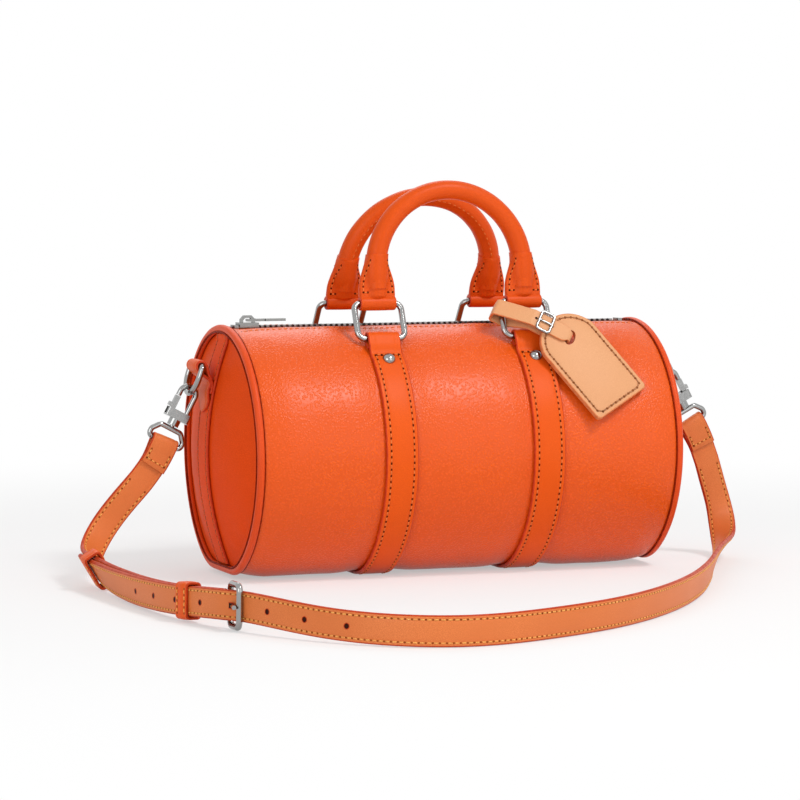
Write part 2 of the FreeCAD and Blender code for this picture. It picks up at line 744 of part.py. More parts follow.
tube_text = "sizes.handle_radius"
for face, face_sign in (("front", -1), ("back", 1)):
    top_y, top_z = ring_tops[face]
    stand = Placement(
        Vector(0, face_sign * top_y, AXIS_HEIGHT + top_z),
        Rotation(Vector(1, 0, 0), face_sign * size(face + "_handle_lean")),
    )
    cover = doc.addObject("Part::Cut", "handle_cover_" + face)
    cover.Base = arch("cover_outer_" + face, tube_text)
    cover.Tool = arch("cover_inner_" + face, "sizes.core_radius")
    doc.recompute()
    keep(cover, "handle_cover_" + face, stand)
    core = arch("core_" + face, "sizes.core_radius")
    doc.recompute()
    keep(core, "handle_core_" + face, stand)
    for side, sign in (("left", -1), ("right", 1)):
        name = "handle_tab_%s_%s" % (face, side)
        tab = new_body(name + "_blank")
        leaf = new_sketch(tab, name + "_leaf", "XZ_Plane")
        w = size("tab_width") / 2
        h = size("tab_height")
        r = size("handle_radius")
        polygon(
            leaf,
            [
                (-w, 0.0),
                (w, 0.0),
                (w, 0.36 * h),
                (0.93 * w, 0.5 * h),
                (0.74 * w, 0.66 * h),
                (r + 1.2, 0.84 * h),
                (r - 1.0, h),
                (1.0 - r, h),
                (-r - 1.2, 0.84 * h),
                (-0.74 * w, 0.66 * h),
                (-0.93 * w, 0.5 * h),
                (-w, 0.36 * h),
            ],
        )
        pad(tab, leaf, "sizes.tab_thick", name + "_pad")
        roll = new_sketch(tab, name + "_roll", "YZ_Plane")
        circle(roll, 0, 0, LOOP_OUT, "sizes.ring_wire / 2 + sizes.loop_gap + sizes.tab_wall")
        pad(tab, roll, "sizes.tab_width", name + "_roll_pad")
        eye = new_sketch(tab, name + "_eye", "YZ_Plane")
        circle(eye, 0, 0, LOOP_IN, "sizes.ring_wire / 2 + sizes.loop_gap")
        pocket(tab, eye, LONG, name + "_eye_cut")
        handle = arch(name + "_handle", tube_text + " + sizes.slip")
        handle.Placement = Placement(Vector(-sign * ARCH, 0, 0), Rotation())
        handle.setExpression("Placement.Base.x", "%d * sizes.band_offset" % -sign)
        socket = doc.addObject("Part::Cut", name + "_socket")
        socket.Base = tab
        socket.Tool = handle
        doc.recompute()
        place = stand.multiply(Placement(Vector(sign * ARCH, 0, 0), Rotation()))
        keep(socket, name, place)

# End clips: tab, D-ring, swivel hook with a sprung gate, and the swivel's strap loop


def wire_sweep(path, wire, at, along):
    """Round wire swept along a path of lines and tangent arcs."""
    ring = Part.Wire(Part.makeCircle(wire / 2, at, along))
    return path.makePipeShell([ring], True, True)


def arc3(a, b, c):
    return Part.Arc(a, b, c).toShape()


FOLD_X = HALF + size("fold_out")
FOLD_Z = RIM - size("fold_drop")
D_HALF = size("d_half")
D_LEG = size("d_leg")
D_IN = size("d_wire") / 2 + size("loop_gap")
D_OUT = D_IN + size("end_tab_wall")

# All of these are drawn hanging down -Z from the fold's axis, which lies along Y.
ease = 2.2
k45 = math.sqrt(0.5)
d_path = Part.Wire(
    [
        line(Vector(0, ease - D_HALF, 0), Vector(0, D_HALF - ease, 0)),
        arc3(
            Vector(0, D_HALF - ease, 0),
            Vector(0, D_HALF - ease + ease * k45, -ease + ease * k45),
            Vector(0, D_HALF, -ease),
        ),
        line(Vector(0, D_HALF, -ease), Vector(0, D_HALF, -D_LEG)),
        arc3(Vector(0, D_HALF, -D_LEG), Vector(0, 0, -D_LEG - D_HALF), Vector(0, -D_HALF, -D_LEG)),
        line(Vector(0, -D_HALF, -D_LEG), Vector(0, -D_HALF, -ease)),
        arc3(
            Vector(0, -D_HALF, -ease),
            Vector(0, -D_HALF + ease - ease * k45, -ease + ease * k45),
            Vector(0, ease - D_HALF, 0),
        ),
    ]
)
d_ring = wire_sweep(d_path, size("d_wire"), Vector(0, ease - D_HALF, 0), Vector(0, 1, 0))

BOW = size("hook_half")
WIRE = size("hook_wire")
bow_z = -D_LEG - D_HALF - (BOW - WIRE / 2 - size("d_wire") / 2 - 0.4)
block_top = bow_z - size("hook_length")
block_low = block_top - size("block_height")
nose_z = bow_z - 2.6
bow_path = Part.Wire(
    [
        line(Vector(-BOW, 0, block_top - 1), Vector(-BOW, 0, bow_z)),
        arc3(Vector(-BOW, 0, bow_z), Vector(0, 0, bow_z + BOW), Vector(BOW, 0, bow_z)),
        line(Vector(BOW, 0, bow_z), Vector(BOW, 0, nose_z)),
    ]
)
bow = wire_sweep(bow_path, WIRE, Vector(-BOW, 0, block_top - 1), Vector(0, 0, 1))
B = size("block_half")
T = size("block_thick")
block = Part.makeBox(2 * B, T, size("block_height"), Vector(-B, -T / 2, block_low))
block = block.makeFillet(1.2, [e for e in block.Edges if abs(e.tangentAt(e.FirstParameter).z) > 0.9])
barrel = Part.makeCylinder(
    size("barrel_radius"), size("barrel_height"), Vector(0, 0, block_low - size("barrel_height"))
)
barrel_low = block_low - size("barrel_height")
PIN = Vector(BOW, 0, block_top - 2.2)
GATE = 2.8
slot = Part.makeBox(2 * B, GATE + 0.7, 4.6, Vector(BOW - 2.2, -(GATE + 0.7) / 2, block_top - 4.0))
pin_hole = Part.makeCylinder(0.8, T + 2, PIN - Vector(0, T / 2 + 1, 0), Vector(0, 1, 0))
POST = 1.25
post_bore = Part.makeCylinder(POST + 0.35, 4.6, Vector(0, 0, barrel_low - 1))
hook = bow.fuse([block, barrel]).removeSplitter().cut([slot, pin_hole, post_bore])
gate_pin = Part.makeCylinder(0.8, T, PIN - Vector(0, T / 2, 0), Vector(0, 1, 0))

gate_top = nose_z - 0.35
gate_bar = Part.makeBox(GATE, GATE, gate_top - PIN.z, Vector(BOW - GATE / 2, -GATE / 2, PIN.z))
gate_root = Part.makeCylinder(GATE / 2, GATE, PIN - Vector(0, GATE / 2, 0), Vector(0, 1, 0))
lever = Part.makeBox(3.0, GATE, 2.2, Vector(BOW, -GATE / 2, PIN.z + 2.6))
gate = gate_bar.fuse([gate_root, lever]).removeSplitter()
gate = gate.cut(Part.makeCylinder(1.1, 2 * T, PIN - Vector(0, T, 0), Vector(0, 1, 0)))

S = size("swivel_half")
SW = size("swivel_wire")
loop_top = barrel_low - SW / 2 - 0.35
bar_low = loop_top - size("swivel_depth")
slope = 3.6
s_points = [
    Vector(-S, 0, bar_low),
    Vector(S, 0, bar_low),
    Vector(S, 0, bar_low + 4.0),
    Vector(S - slope, 0, loop_top),
    Vector(slope - S, 0, loop_top),
    Vector(-S, 0, bar_low + 4.0),
]


def eased_loop(points, radius):
    """A closed path of straight runs with each corner rounded by a tangent arc."""
    edges = []
    starts = []
    for k, point in enumerate(points):
        to_last = (points[k - 1] - point).normalize()
        to_next = (points[(k + 1) % len(points)] - point).normalize()
        half = to_last.getAngle(to_next) / 2
        back = radius / math.tan(half)
        middle = point + (to_last + to_next).normalize() * (radius / math.sin(half) - radius)
        starts.append((point + to_last * back, middle, point + to_next * back))
    for k, (a, m, b) in enumerate(starts):
        edges.append(arc3(a, m, b))
        edges.append(line(b, starts[(k + 1) % len(starts)][0]))
    return Part.Wire(edges)


s_path = eased_loop(s_points, 2.4)
s_start = s_path.Edges[1].Vertexes[0].Point
swivel = wire_sweep(s_path, SW, s_start, Vector(1, 0, 0))
neck = Part.makeCylinder(POST, 3.4 + SW / 2, Vector(0, 0, loop_top))
swivel = swivel.fuse(neck).removeSplitter()

# The tab is a strip folded round the D-ring's bar and laid on the end strip.
flap_low = FOLD_Z - size("end_tab_drop")
tab_w = size("end_tab_width")
flap = Part.makeBox(30, tab_w, size("end_tab_drop"), Vector(HALF - 4, -tab_w / 2, flap_low))
rounding = Part.makeCylinder(tab_w / 2, 60, Vector(HALF - 10, 0, flap_low + tab_w / 2), Vector(1, 0, 0))
above = Part.makeBox(60, tab_w, 60, Vector(HALF - 10, -tab_w / 2, flap_low + tab_w / 2))
flap = flap.common(rounding.fuse(above))
flap_skin = dome(0.0, size("strip_thick") + size("end_tab_wall"), REACH, RADIUS + 10)
flap = flap.common(flap_skin)
roll = Part.makeCylinder(D_OUT, tab_w, Vector(FOLD_X, -tab_w / 2, FOLD_Z), Vector(0, 1, 0))
web = Part.makeBox(
    FOLD_X - HALF, tab_w, 2 * D_OUT - 1.6, Vector(HALF, -tab_w / 2, FOLD_Z - D_OUT + 0.8)
)
eye = Part.makeCylinder(D_IN, 60, Vector(FOLD_X, -30, FOLD_Z), Vector(0, 1, 0))
end_tab = flap.fuse([roll, web]).removeSplitter().cut([eye, solid_dome])

clip_bar = {}
clip_place = {}
for side, sign in (("right", 1), ("left", -1)):
    shape_of("ring_tab_" + side, end_tab if sign > 0 else mirror(end_tab), LIFT)
    turned = Rotation(Vector(0, 0, 1), 0 if sign > 0 else 180)
    hang = Placement(
        Vector(sign * FOLD_X, 0, AXIS_HEIGHT + FOLD_Z),
        Rotation(Vector(0, 1, 0), -sign * size("ring_hang_" + side)).multiply(turned),
    )
    shape_of("d_ring_" + side, d_ring, hang)
    bottom = Vector(0, 0, -D_LEG - D_HALF)
    tilt = Rotation(Vector(0, 1, 0), -sign * size("hook_lean_" + side)).multiply(turned)
    place = Placement(hang.multVec(bottom) - tilt.multVec(bottom), tilt)
    shape_of("hook_body_" + side, hook, place)
    shape_of("hook_gate_" + side, gate, place)
    shape_of("hook_gate_pin_" + side, gate_pin, place)
    shape_of("swivel_loop_" + side, swivel, place)
    clip_bar[side] = place.multVec(Vector(0, 0, bar_low))
    clip_place[side] = place

# Shoulder strap: it hangs from both clips and lies on the floor in front, on its edge

# Stations along the strap's middle: x, y, z, then how far its upper edge leans out sideways, in degrees.
UP = size("strap_width") / 2 + 0.2
left_bar = clip_bar["left"]
right_bar = clip_bar["right"]
left_way = clip_place["left"].Rotation.multVec(Vector(0, 0, -1))
right_way = clip_place["right"].Rotation.multVec(Vector(0, 0, -1))
lean_left = size("hook_lean_left") - 90
lean_right = 90 - size("hook_lean_right")
STATIONS = [
    (left_bar.x, left_bar.y, left_bar.z, lean_left),
    (left_bar.x + 15 * left_way.x, 0.5, left_bar.z + 15 * left_way.z, lean_left),
    (left_bar.x - 20.9, 2, 0.6 * left_bar.z, lean_left + 2),
    (left_bar.x - 34.9, 3, 0.36 * left_bar.z, lean_left + 8),
    (left_bar.x - 42.9, -6, 0.227 * left_bar.z, -46),
    (-203, -28, UP + 5.2, -38),
    (-204, -60, UP + 3.0, -22),
    (-203.5, -100, UP + 1.6, -8),
    (-201, -140, UP + 1.6, 0),
    (-194, -182, UP + 3.0, 2),
    (-182, -222, UP + 4.6, 2),
    (-163, -262, UP + 2.4, 2),
    (-138, -294, UP + 0.6, 2),
    (-100, -312, UP, 2),
    (-52, -301, UP, 2),
    (-8, -277, UP, 2),
    (30, -245, UP, 2),
    (64, -206, UP, 3),
    (94, -162, UP, 6),
    (121, -114, UP, 14),
    (144, -70, 8.2, 28),
    (164, -34, 8.6, 44),
    (176, -10, 13, 54),
    (right_bar.x + 19.0, 2, 0.352 * right_bar.z, lean_right),
    (right_bar.x + 14.0, 2, 0.573 * right_bar.z, lean_right),
    (right_bar.x + 15 * right_way.x, 0.5, right_bar.z + 15 * right_way.z, lean_right),
    (right_bar.x, right_bar.y, right_bar.z, lean_right),
]
points = [Vector(*s[:3]) for s in STATIONS]
spine = Part.BSplineCurve()
spine.interpolate(points)
knots = [spine.parameter(p) for p in points]
STRAP = spine.length()


def lean_at(u):
    """The lean at a place on the spine, straight between stations."""
    for k in range(len(knots) - 1):
        if u <= knots[k + 1]:
            t = (u - knots[k]) / (knots[k + 1] - knots[k])
            t = t * t * (3 - 2 * t)
            return STATIONS[k][3] + t * (STATIONS[k + 1][3] - STATIONS[k][3])
    return STATIONS[-1][3]


def strap_frame(along, off=0.0):
    """Middle, direction, width direction and outward direction at a length along the strap."""
    u = spine.parameterAtDistance(along, spine.FirstParameter)
    at = spine.value(u)
    ahead = Vector(*spine.tangent(u)[0])
    turn = math.radians(lean_at(u))
    across = Vector(math.sin(turn), 0, math.cos(turn))
    across = across - ahead * across.dot(ahead)
    across.normalize()
    out = ahead.cross(across)
    out.normalize()
    return at + out * off, ahead, across, out


def strap_section(along, off, width, thick):
    at, ahead, across, out = strap_frame(along, off)
    w = across * (width / 2)
    t = out * (thick / 2)
    return Part.makePolygon([at - w - t, at + w - t, at + w + t, at - w + t, at - w - t])


def ease_step(t):
    t = max(0.0, min(1.0, t))
    return t * t * (3 - 2 * t)


OUT = 1.0
BUCKLE = size("buckle_at")
STEP = size("layer_step")
WIDE = size("strap_width")
THICK = size("strap_thick")


def long_offset(along):
    """The long strap lies outside the short one up to the buckle, then drops into its line."""
    return OUT * STEP * (1 - ease_step((along - BUCKLE + 1.0) / (size("buckle_length") + 2.0)))


def strap_solid(start, end, offset, count):
    rings = []
    for k in range(count + 1):
        along = start + (end - start) * k / count
        rings.append(strap_section(along, offset(along), WIDE, THICK))
    return Part.makeLoft(rings, True, True)


def bar_loop(side):
    """The strap's end folded round a swivel's bar: the roll, and the room that the swivel needs."""
    bar = clip_place[side].Rotation.multVec(Vector(1, 0, 0))
    outer = SW / 2 + size("loop_gap") + 1.6
    roll = Part.makeCylinder(outer, WIDE, clip_bar[side] - bar * (WIDE / 2), bar)
    room = wire_sweep(s_path, SW + 2 * size("loop_gap"), s_start, Vector(1, 0, 0))
    room.Placement = clip_place[side]
    return roll, room


def steps(length):
    return max(4, int(length / 9.0))


# Short strap: from the left clip to the buckle's hinge bar, with a slot in its fold for the prong.
BW = size("buckle_wire")
fold_in = BW / 2 + 0.3
fold_out = fold_in + 1.1
hinge_off = OUT * (STEP - THICK / 2 - 0.4 - fold_out)
hinge_at, hinge_dir, hinge_up, hinge_out = strap_frame(BUCKLE, hinge_off)
short = strap_solid(0.0, BUCKLE, lambda s: 0.0, steps(BUCKLE))
roll, hole = bar_loop("left")
fold = Part.makeCylinder(fold_out, WIDE, hinge_at - hinge_up * (WIDE / 2), hinge_up)
fold_hole = Part.makeCylinder(fold_in, 60, hinge_at - hinge_up * 30, hinge_up)
notch = Part.makeCylinder(8, 5.2, hinge_at - hinge_up * 2.6, hinge_up)
short = short.fuse([roll, fold]).cut([hole, fold_hole, notch])
shape_of("strap_short", short)

long_strap = strap_solid(size("tip_at"), STRAP, long_offset, steps(STRAP - size("tip_at")))
roll, hole = bar_loop("right")
long_strap = long_strap.fuse(roll).cut(hole)
holes = []
for k in range(-4, 4):
    along = BUCKLE + 7.0 + k * size("hole_pitch")
    at, ahead, across, out = strap_frame(along, long_offset(along))
    if k:
        holes.append(Part.makeCylinder(size("hole_radius"), 12, at - out * 6, out))
# The hole that the prong is in is drawn long, so that the prong can lie slantwise in it.
slot_half = 1.8
slot_ends = [strap_frame(BUCKLE + end, long_offset(BUCKLE + end)) for end in (2.8, 8.2)]
for at, ahead, across, out in slot_ends:
    holes.append(Part.makeCylinder(slot_half, 12, at - out * 6, out))
slot_run = slot_ends[1][0] - slot_ends[0][0]
slot_wide = slot_ends[0][2] * (2 * slot_half)
slot_out = slot_run.cross(slot_wide).normalize() * 12
slot_from = slot_ends[0][0] - slot_wide / 2 - slot_out / 2
slot_face = Part.Face(
    Part.makePolygon(
        [
            slot_from,
            slot_from + slot_run,
            slot_from + slot_run + slot_wide,
            slot_from + slot_wide,
            slot_from,
        ]
    )
)
holes.append(slot_face.extrude(slot_out))
long_strap = long_strap.cut(holes)
shape_of("strap_long", long_strap)

# Buckle: a wire frame hinged in the short strap's fold, its far bar lying over the long strap.
far_along = BUCKLE + size("buckle_length")
far_at = strap_frame(far_along, OUT * (THICK / 2 + 0.6 + BW / 2))[0]
frame_dir = (far_at - hinge_at).normalize()
frame_up = (hinge_up - frame_dir * hinge_up.dot(frame_dir)).normalize()
tall = frame_up * ((size("buckle_height") - BW) / 2)
mid_far = far_at
frame_path = eased_loop([hinge_at - tall, mid_far - tall, mid_far + tall, hinge_at + tall], 3.0)
frame_start = frame_path.Edges[1].Vertexes[0].Point
frame_along = frame_path.Edges[1].tangentAt(frame_path.Edges[1].FirstParameter)
shape_of("buckle_frame", wire_sweep(frame_path, BW, frame_start, frame_along))

frame_out = frame_dir.cross(frame_up) * (1 if frame_dir.cross(frame_up).dot(hinge_out) * OUT > 0 else -1)
prong_r = 1.1
eye_ring = Part.makeCylinder(BW / 2 + 0.35 + 1.0, 4.0, hinge_at - frame_up * 2.0, frame_up)
rest = mid_far + frame_out * (BW / 2 + 0.35 + prong_r)
tongue_dir = (rest - hinge_at).normalize()
tongue = Part.makeCylinder(prong_r, (rest - hinge_at).Length + 2.6, hinge_at, tongue_dir)
prong = eye_ring.fuse(tongue).removeSplitter()
prong = prong.cut(Part.makeCylinder(BW / 2 + 0.35, 20, hinge_at - frame_up * 10, frame_up))
shape_of("buckle_prong", prong)


def keeper(along, slack):
    """A leather loop round both layers of the strap."""
    at, ahead, across, out = strap_frame(along, OUT * STEP / 2)
    inner_w = WIDE + 2 * slack
    inner_t = STEP + THICK + 2 * slack
    wall = size("keeper_wall")
    start = at - ahead * (size("keeper_width") / 2)

    def prism(w, t, grow):
        a = across * (w / 2)
        b = out * (t / 2)
        origin = start - ahead * grow
        wire = Part.makePolygon(
            [origin - a - b, origin + a - b, origin + a + b, origin - a + b, origin - a - b]
        )
        return Part.Face(wire).extrude(ahead * (size("keeper_width") + 2 * grow))

    return prism(inner_w + 2 * wall, inner_t + 2 * wall, 0).cut(prism(inner_w, inner_t, 2))


shape_of("keeper_fixed", keeper(size("fixed_keeper_at"), 0.35))
shape_of("keeper_loose", keeper(size("loose_keeper_at"), 0.7))

# Luggage tag: two leather layers, hung from the front right ring by a buckled strap

tag_turn = math.radians(size("tag_angle"))
tag_out = Vector(0, -math.sin(tag_turn), math.cos(tag_turn))
tag_down = Vector(0, -math.cos(tag_turn), -math.sin(tag_turn))
swing = math.radians(size("tag_turn"))
tag_long = Vector(1, 0, 0) * math.sin(swing) + tag_down * math.cos(swing)
tag_side = tag_long.cross(tag_out)
tag_plane = Vector(0, 0, AXIS_HEIGHT) + tag_out * (RADIUS + size("tag_stand"))
tag_x = size("band_offset") + size("tag_shift")
tag_foot = tag_plane + Vector(tag_x, 0, 0) + tag_down * size("tag_hang")
straight = size("tag_straight")
half_tag = size("tag_width") / 2


def on_tag(along, aside, above=0.0):
    """A place on the tag: along from its foot to its head, aside, and above its middle."""
    return tag_foot - tag_long * along + tag_side * aside + tag_out * above


head = straight + size("tag_bow")
SLOT = straight + size("tag_slot")


def tag_layer(low, high):
    edges = [
        line(on_tag(0, -half_tag, low), on_tag(0, half_tag, low)),
        line(on_tag(0, half_tag, low), on_tag(straight, half_tag, low)),
        arc3(on_tag(straight, half_tag, low), on_tag(head, 0, low), on_tag(straight, -half_tag, low)),
        line(on_tag(straight, -half_tag, low), on_tag(0, -half_tag, low)),
    ]
    plate = Part.Face(Part.Wire(edges)).extrude(tag_out * (high - low))
    return plate


# The strap holds the ring's left bar a little above its middle, clear of the band's loop.
up_bar = 0.64
top_y, top_z = ring_tops["front"]
ring_bar = Vector(
    size("band_offset") - (RING_WIDTH - size("ring_wire")) / 2,
    -bar_y - (top_y - bar_y) * up_bar,
    AXIS_HEIGHT + bar_z + (top_z - bar_z) * up_bar,
)
# The strap's own frame: it runs in the tag's plane from below the ring's bar to the slot.
slot_mid = on_tag(SLOT, 0)
run = slot_mid - ring_bar
sink = run.dot(tag_out)
run = run - tag_out * sink
reach = run.Length
run.normalize()
strap_side = tag_out.cross(run)
gap = size("ring_wire") / 2 + 1.4
wall = size("tag_strap_wall")
high = size("tag_layer") + 0.4 + wall / 2


def on_run(along, above):
    return ring_bar + run * along + tag_out * (above + sink)


edge = gap + wall / 2
over = [
    on_run(-edge - 1.2, -sink - edge),
    on_run(-edge - 1.2, -sink + edge),
    on_run(0.42 * reach, high),
    on_run(reach + 2.2, high),
    on_run(reach + 2.2, -high),
    on_run(0.42 * reach, -high),
    on_run(0.06 * reach, -sink - edge),
]


def band_of(points, radius, thick, width, side):
    """A closed strip of leather: a path thickened both ways and drawn out sideways."""
    path = eased_loop(points, radius)
    outer = path.makeOffset2D(thick / 2)
    inner = path.makeOffset2D(-thick / 2)
    if outer.BoundBox.DiagonalLength < inner.BoundBox.DiagonalLength:
        outer, inner = inner, outer
    face = Part.Face([outer, inner])
    if not face.isValid():
        face.validate()
    face.translate(side * (-width / 2))
    return face.extrude(side * width)


tag_strap = band_of(over, 1.6, wall, size("tag_strap_width"), strap_side)
half_x = (RING_WIDTH - size("ring_wire")) / 2
ring_line = eased_loop(
    [
        Vector(-half_x, 0, -RING_HALF),
        Vector(half_x, 0, -RING_HALF),
        Vector(half_x, 0, RING_HALF),
        Vector(-half_x, 0, RING_HALF),
    ],
    size("ring_corner"),
)
ring_begin = ring_line.Edges[1].Vertexes[0].Point
ring_room = wire_sweep(ring_line, size("ring_wire") + 2 * size("loop_gap"), ring_begin, Vector(1, 0, 0))
ring_room.Placement = Placement(
    Vector(size("band_offset"), -(bar_y + top_y) / 2, AXIS_HEIGHT + (bar_z + top_z) / 2),
    Rotation(Vector(1, 0, 0), -size("front_ring_lean")),
)
tag_strap = tag_strap.cut(ring_room)
shape_of("tag_strap", tag_strap)

half_slot = size("tag_strap_width") / 2 + 0.8
slot_wire = [
    slot_mid + run * 0.9 - strap_side * half_slot - tag_out * 5,
    slot_mid + run * 4.4 - strap_side * half_slot - tag_out * 5,
    slot_mid + run * 4.4 + strap_side * half_slot - tag_out * 5,
    slot_mid + run * 0.9 + strap_side * half_slot - tag_out * 5,
]
slot_tool = Part.Face(Part.makePolygon(slot_wire + slot_wire[:1])).extrude(tag_out * 10)
layer = size("tag_layer")
shape_of("tag_front", tag_layer(0.0, layer).cut(slot_tool))
shape_of("tag_back", tag_layer(-layer, 0.0).cut(slot_tool))

# The tag's small buckle sits on the upper layer of its strap.
TW = size("tag_buckle_wire")
b_mid = on_run(0.62 * reach, high + wall / 2 + TW / 2)
b_half = strap_side * (size("tag_strap_width") / 2 + 0.6)
b_long = run * 3.8
b_path = eased_loop(
    [b_mid - b_long - b_half, b_mid + b_long - b_half, b_mid + b_long + b_half, b_mid - b_long + b_half],
    1.6,
)
b_start = b_path.Edges[1].Vertexes[0].Point
b_along = b_path.Edges[1].tangentAt(b_path.Edges[1].FirstParameter)
tag_frame = wire_sweep(b_path, TW, b_start, b_along)
tag_prong = Part.makeCylinder(0.6, 7.6, b_mid - b_long, run)
shape_of("tag_buckle", tag_frame.fuse(tag_prong).removeSplitter())

doc.recompute()

# Check and write

for thing in doc.Objects:
    if "Invalid" in thing.State or "Error" in thing.State:
        raise RuntimeError("did not build: " + thing.Label)
os.makedirs("parts", exist_ok=True)
for thing in parts:
    solid = thing.Shape
    if solid.isNull() or not solid.isValid() or solid.Volume <= 0:
        raise RuntimeError("bad shape: " + thing.Label)
    solid.exportStep("parts/%s.step" % thing.Label)
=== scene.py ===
import json
import math

import bmesh
import bpy
import numpy as np
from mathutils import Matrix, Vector, noise


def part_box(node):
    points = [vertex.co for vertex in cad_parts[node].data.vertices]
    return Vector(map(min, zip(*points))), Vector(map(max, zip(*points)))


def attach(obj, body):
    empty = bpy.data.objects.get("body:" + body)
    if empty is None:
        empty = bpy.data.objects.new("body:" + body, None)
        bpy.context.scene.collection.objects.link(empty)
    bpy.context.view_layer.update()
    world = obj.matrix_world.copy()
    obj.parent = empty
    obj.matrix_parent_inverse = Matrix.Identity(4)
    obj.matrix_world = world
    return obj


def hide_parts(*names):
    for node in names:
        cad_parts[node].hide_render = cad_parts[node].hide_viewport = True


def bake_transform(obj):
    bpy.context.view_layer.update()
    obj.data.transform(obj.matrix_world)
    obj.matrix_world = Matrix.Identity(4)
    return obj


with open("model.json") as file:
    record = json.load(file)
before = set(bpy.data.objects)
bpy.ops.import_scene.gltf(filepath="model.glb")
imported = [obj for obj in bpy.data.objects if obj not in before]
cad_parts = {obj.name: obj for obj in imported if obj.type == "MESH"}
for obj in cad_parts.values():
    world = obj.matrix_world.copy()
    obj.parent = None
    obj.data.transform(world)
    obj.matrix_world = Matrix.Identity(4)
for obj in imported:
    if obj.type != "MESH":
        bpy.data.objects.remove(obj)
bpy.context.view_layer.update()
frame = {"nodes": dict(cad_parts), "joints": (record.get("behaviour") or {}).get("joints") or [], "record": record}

# Lengths are in millimetres, except in shader nodes and on the stage. Meshes are made in metres.
MM = 0.001
X = Vector((1, 0, 0))
Y = Vector((0, 1, 0))
Z = Vector((0, 0, 1))
SIDES = (("left", -1), ("right", 1))
FACES = (("front", -1), ("back", 1))
BOTH = (1, -1)
# Where each joint turns
PIVOTS = {item["name"]: Vector(item["pos_m"]) / MM for item in frame["joints"] if "pos_m" in item}


def ease(t):
    """A soft step from 0 to 1."""
    t = max(0.0, min(1.0, t))
    return t * t * (3 - 2 * t)


def mix(a, b, t):
    return a + (b - a) * t


def spread(a, b, count):
    """Numbers from a to b, in a count of equal steps."""
    return [mix(a, b, k / count) for k in range(count + 1)]


def every(a, b, pitch):
    """Numbers from a to b, about a pitch apart."""
    return spread(a, b, max(2, round((b - a) / pitch)))


def pairs(ring):
    """Each item of a closed ring with the next one."""
    return zip(ring, ring[1:] + ring[:1])


def around(degrees, u, v):
    """The direction at an angle from u towards v."""
    turn = math.radians(degrees)
    return u * math.cos(turn) + v * math.sin(turn)


def dip(distance, width):
    """1 on a line, fading to nothing beside it."""
    return math.exp(-((distance / width) ** 2))


def ripple(a, b, size, seed):
    """Soft noise in waves of about a given size."""
    return noise.noise(Vector((a / size, b / size, seed)))


# Materials


def srgb(colour):
    """A colour of 0 to 255 values, as linear light."""
    return tuple(((c / 255 + 0.055) / 1.055) ** 2.4 for c in colour) + (1.0,)


class Shader:
    """The nodes of a material or the world, with short calls for the kinds used here."""

    def __init__(self, owner, base="Principled BSDF"):
        owner.use_nodes = True
        self.owner = owner
        self.nodes = owner.node_tree.nodes
        self.links = owner.node_tree.links
        self.base = self.nodes[base]

    def feed(self, socket, value):
        """Link a socket to an output, or set it to a plain value."""
        if isinstance(value, bpy.types.NodeSocket):
            self.links.new(value, socket)
        else:
            socket.default_value = value

    def set(self, **values):
        """Feed the sockets of the main node."""
        for key, value in values.items():
            self.feed(self.base.inputs[key.replace("_", " ")], value)

    def add(self, kind, output, inputs, **settings):
        """An output of a new node, whose inputs are fed as said."""
        node = self.nodes.new("ShaderNode" + kind)
        for key, value in settings.items():
            setattr(node, key, value)
        for key, value in inputs.items():
            self.feed(node.inputs[key], value)
        return node.outputs[output]

    def where(self):
        """Places on the object, in metres."""
        node = self.nodes.get("Texture Coordinate") or self.nodes.new("ShaderNodeTexCoord")
        return node.outputs["Object"]

    def noise(self, scale, detail):
        return self.add("TexNoise", "Fac", {"Scale": scale, "Detail": detail, "Vector": self.where()})

    def cells(self, scale, where):
        """Distance from the middles of small irregular cells."""
        inputs = {"Scale": scale, "Smoothness": 0.35, "Vector": where}
        return self.add("TexVoronoi", "Distance", inputs, feature="SMOOTH_F1")

    def warped(self, scale, reach):
        """Places pushed about by noise, so that cells lose their straight sides."""
        push = self.add("TexNoise", "Color", {"Scale": scale, "Vector": self.where()})
        inputs = {0: push, 1: (reach, reach, reach), 2: self.where()}
        return self.add("VectorMath", "Vector", inputs, operation="MULTIPLY_ADD")

    def ramp(self, value, low, high, to_low=0.0, to_high=1.0):
        """A soft step from one level to another."""
        inputs = {"Value": value, "From Min": low, "From Max": high, "To Min": to_low, "To Max": to_high}
        return self.add("MapRange", "Result", inputs, interpolation_type="SMOOTHSTEP")

    def math(self, kind, a, b):
        return self.add("Math", "Value", {0: a, 1: b}, operation=kind)

    def blend(self, factor, a, b):
        """From colour a to colour b."""
        return self.add("Mix", 2, {"Factor": factor, 6: a, 7: b}, data_type="RGBA")

    def bump(self, height, depth):
        """Relief of a real depth, in metres."""
        inputs = {"Strength": 1.0, "Distance": depth, "Height": height}
        self.set(Normal=self.add("Bump", "Normal", inputs))

    def background_rays(self):
        """1 for rays of the camera, direct or by way of gloss or glass."""
        rays = self.nodes.new("ShaderNodeLightPath").outputs
        seen = rays["Is Camera Ray"]
        for kind in ("Is Glossy Ray", "Is Transmission Ray"):
            seen = self.math("MAXIMUM", seen, rays[kind])
        return seen


def fresh(name):
    """The nodes of a new material."""
    return Shader(bpy.data.materials.new(name))


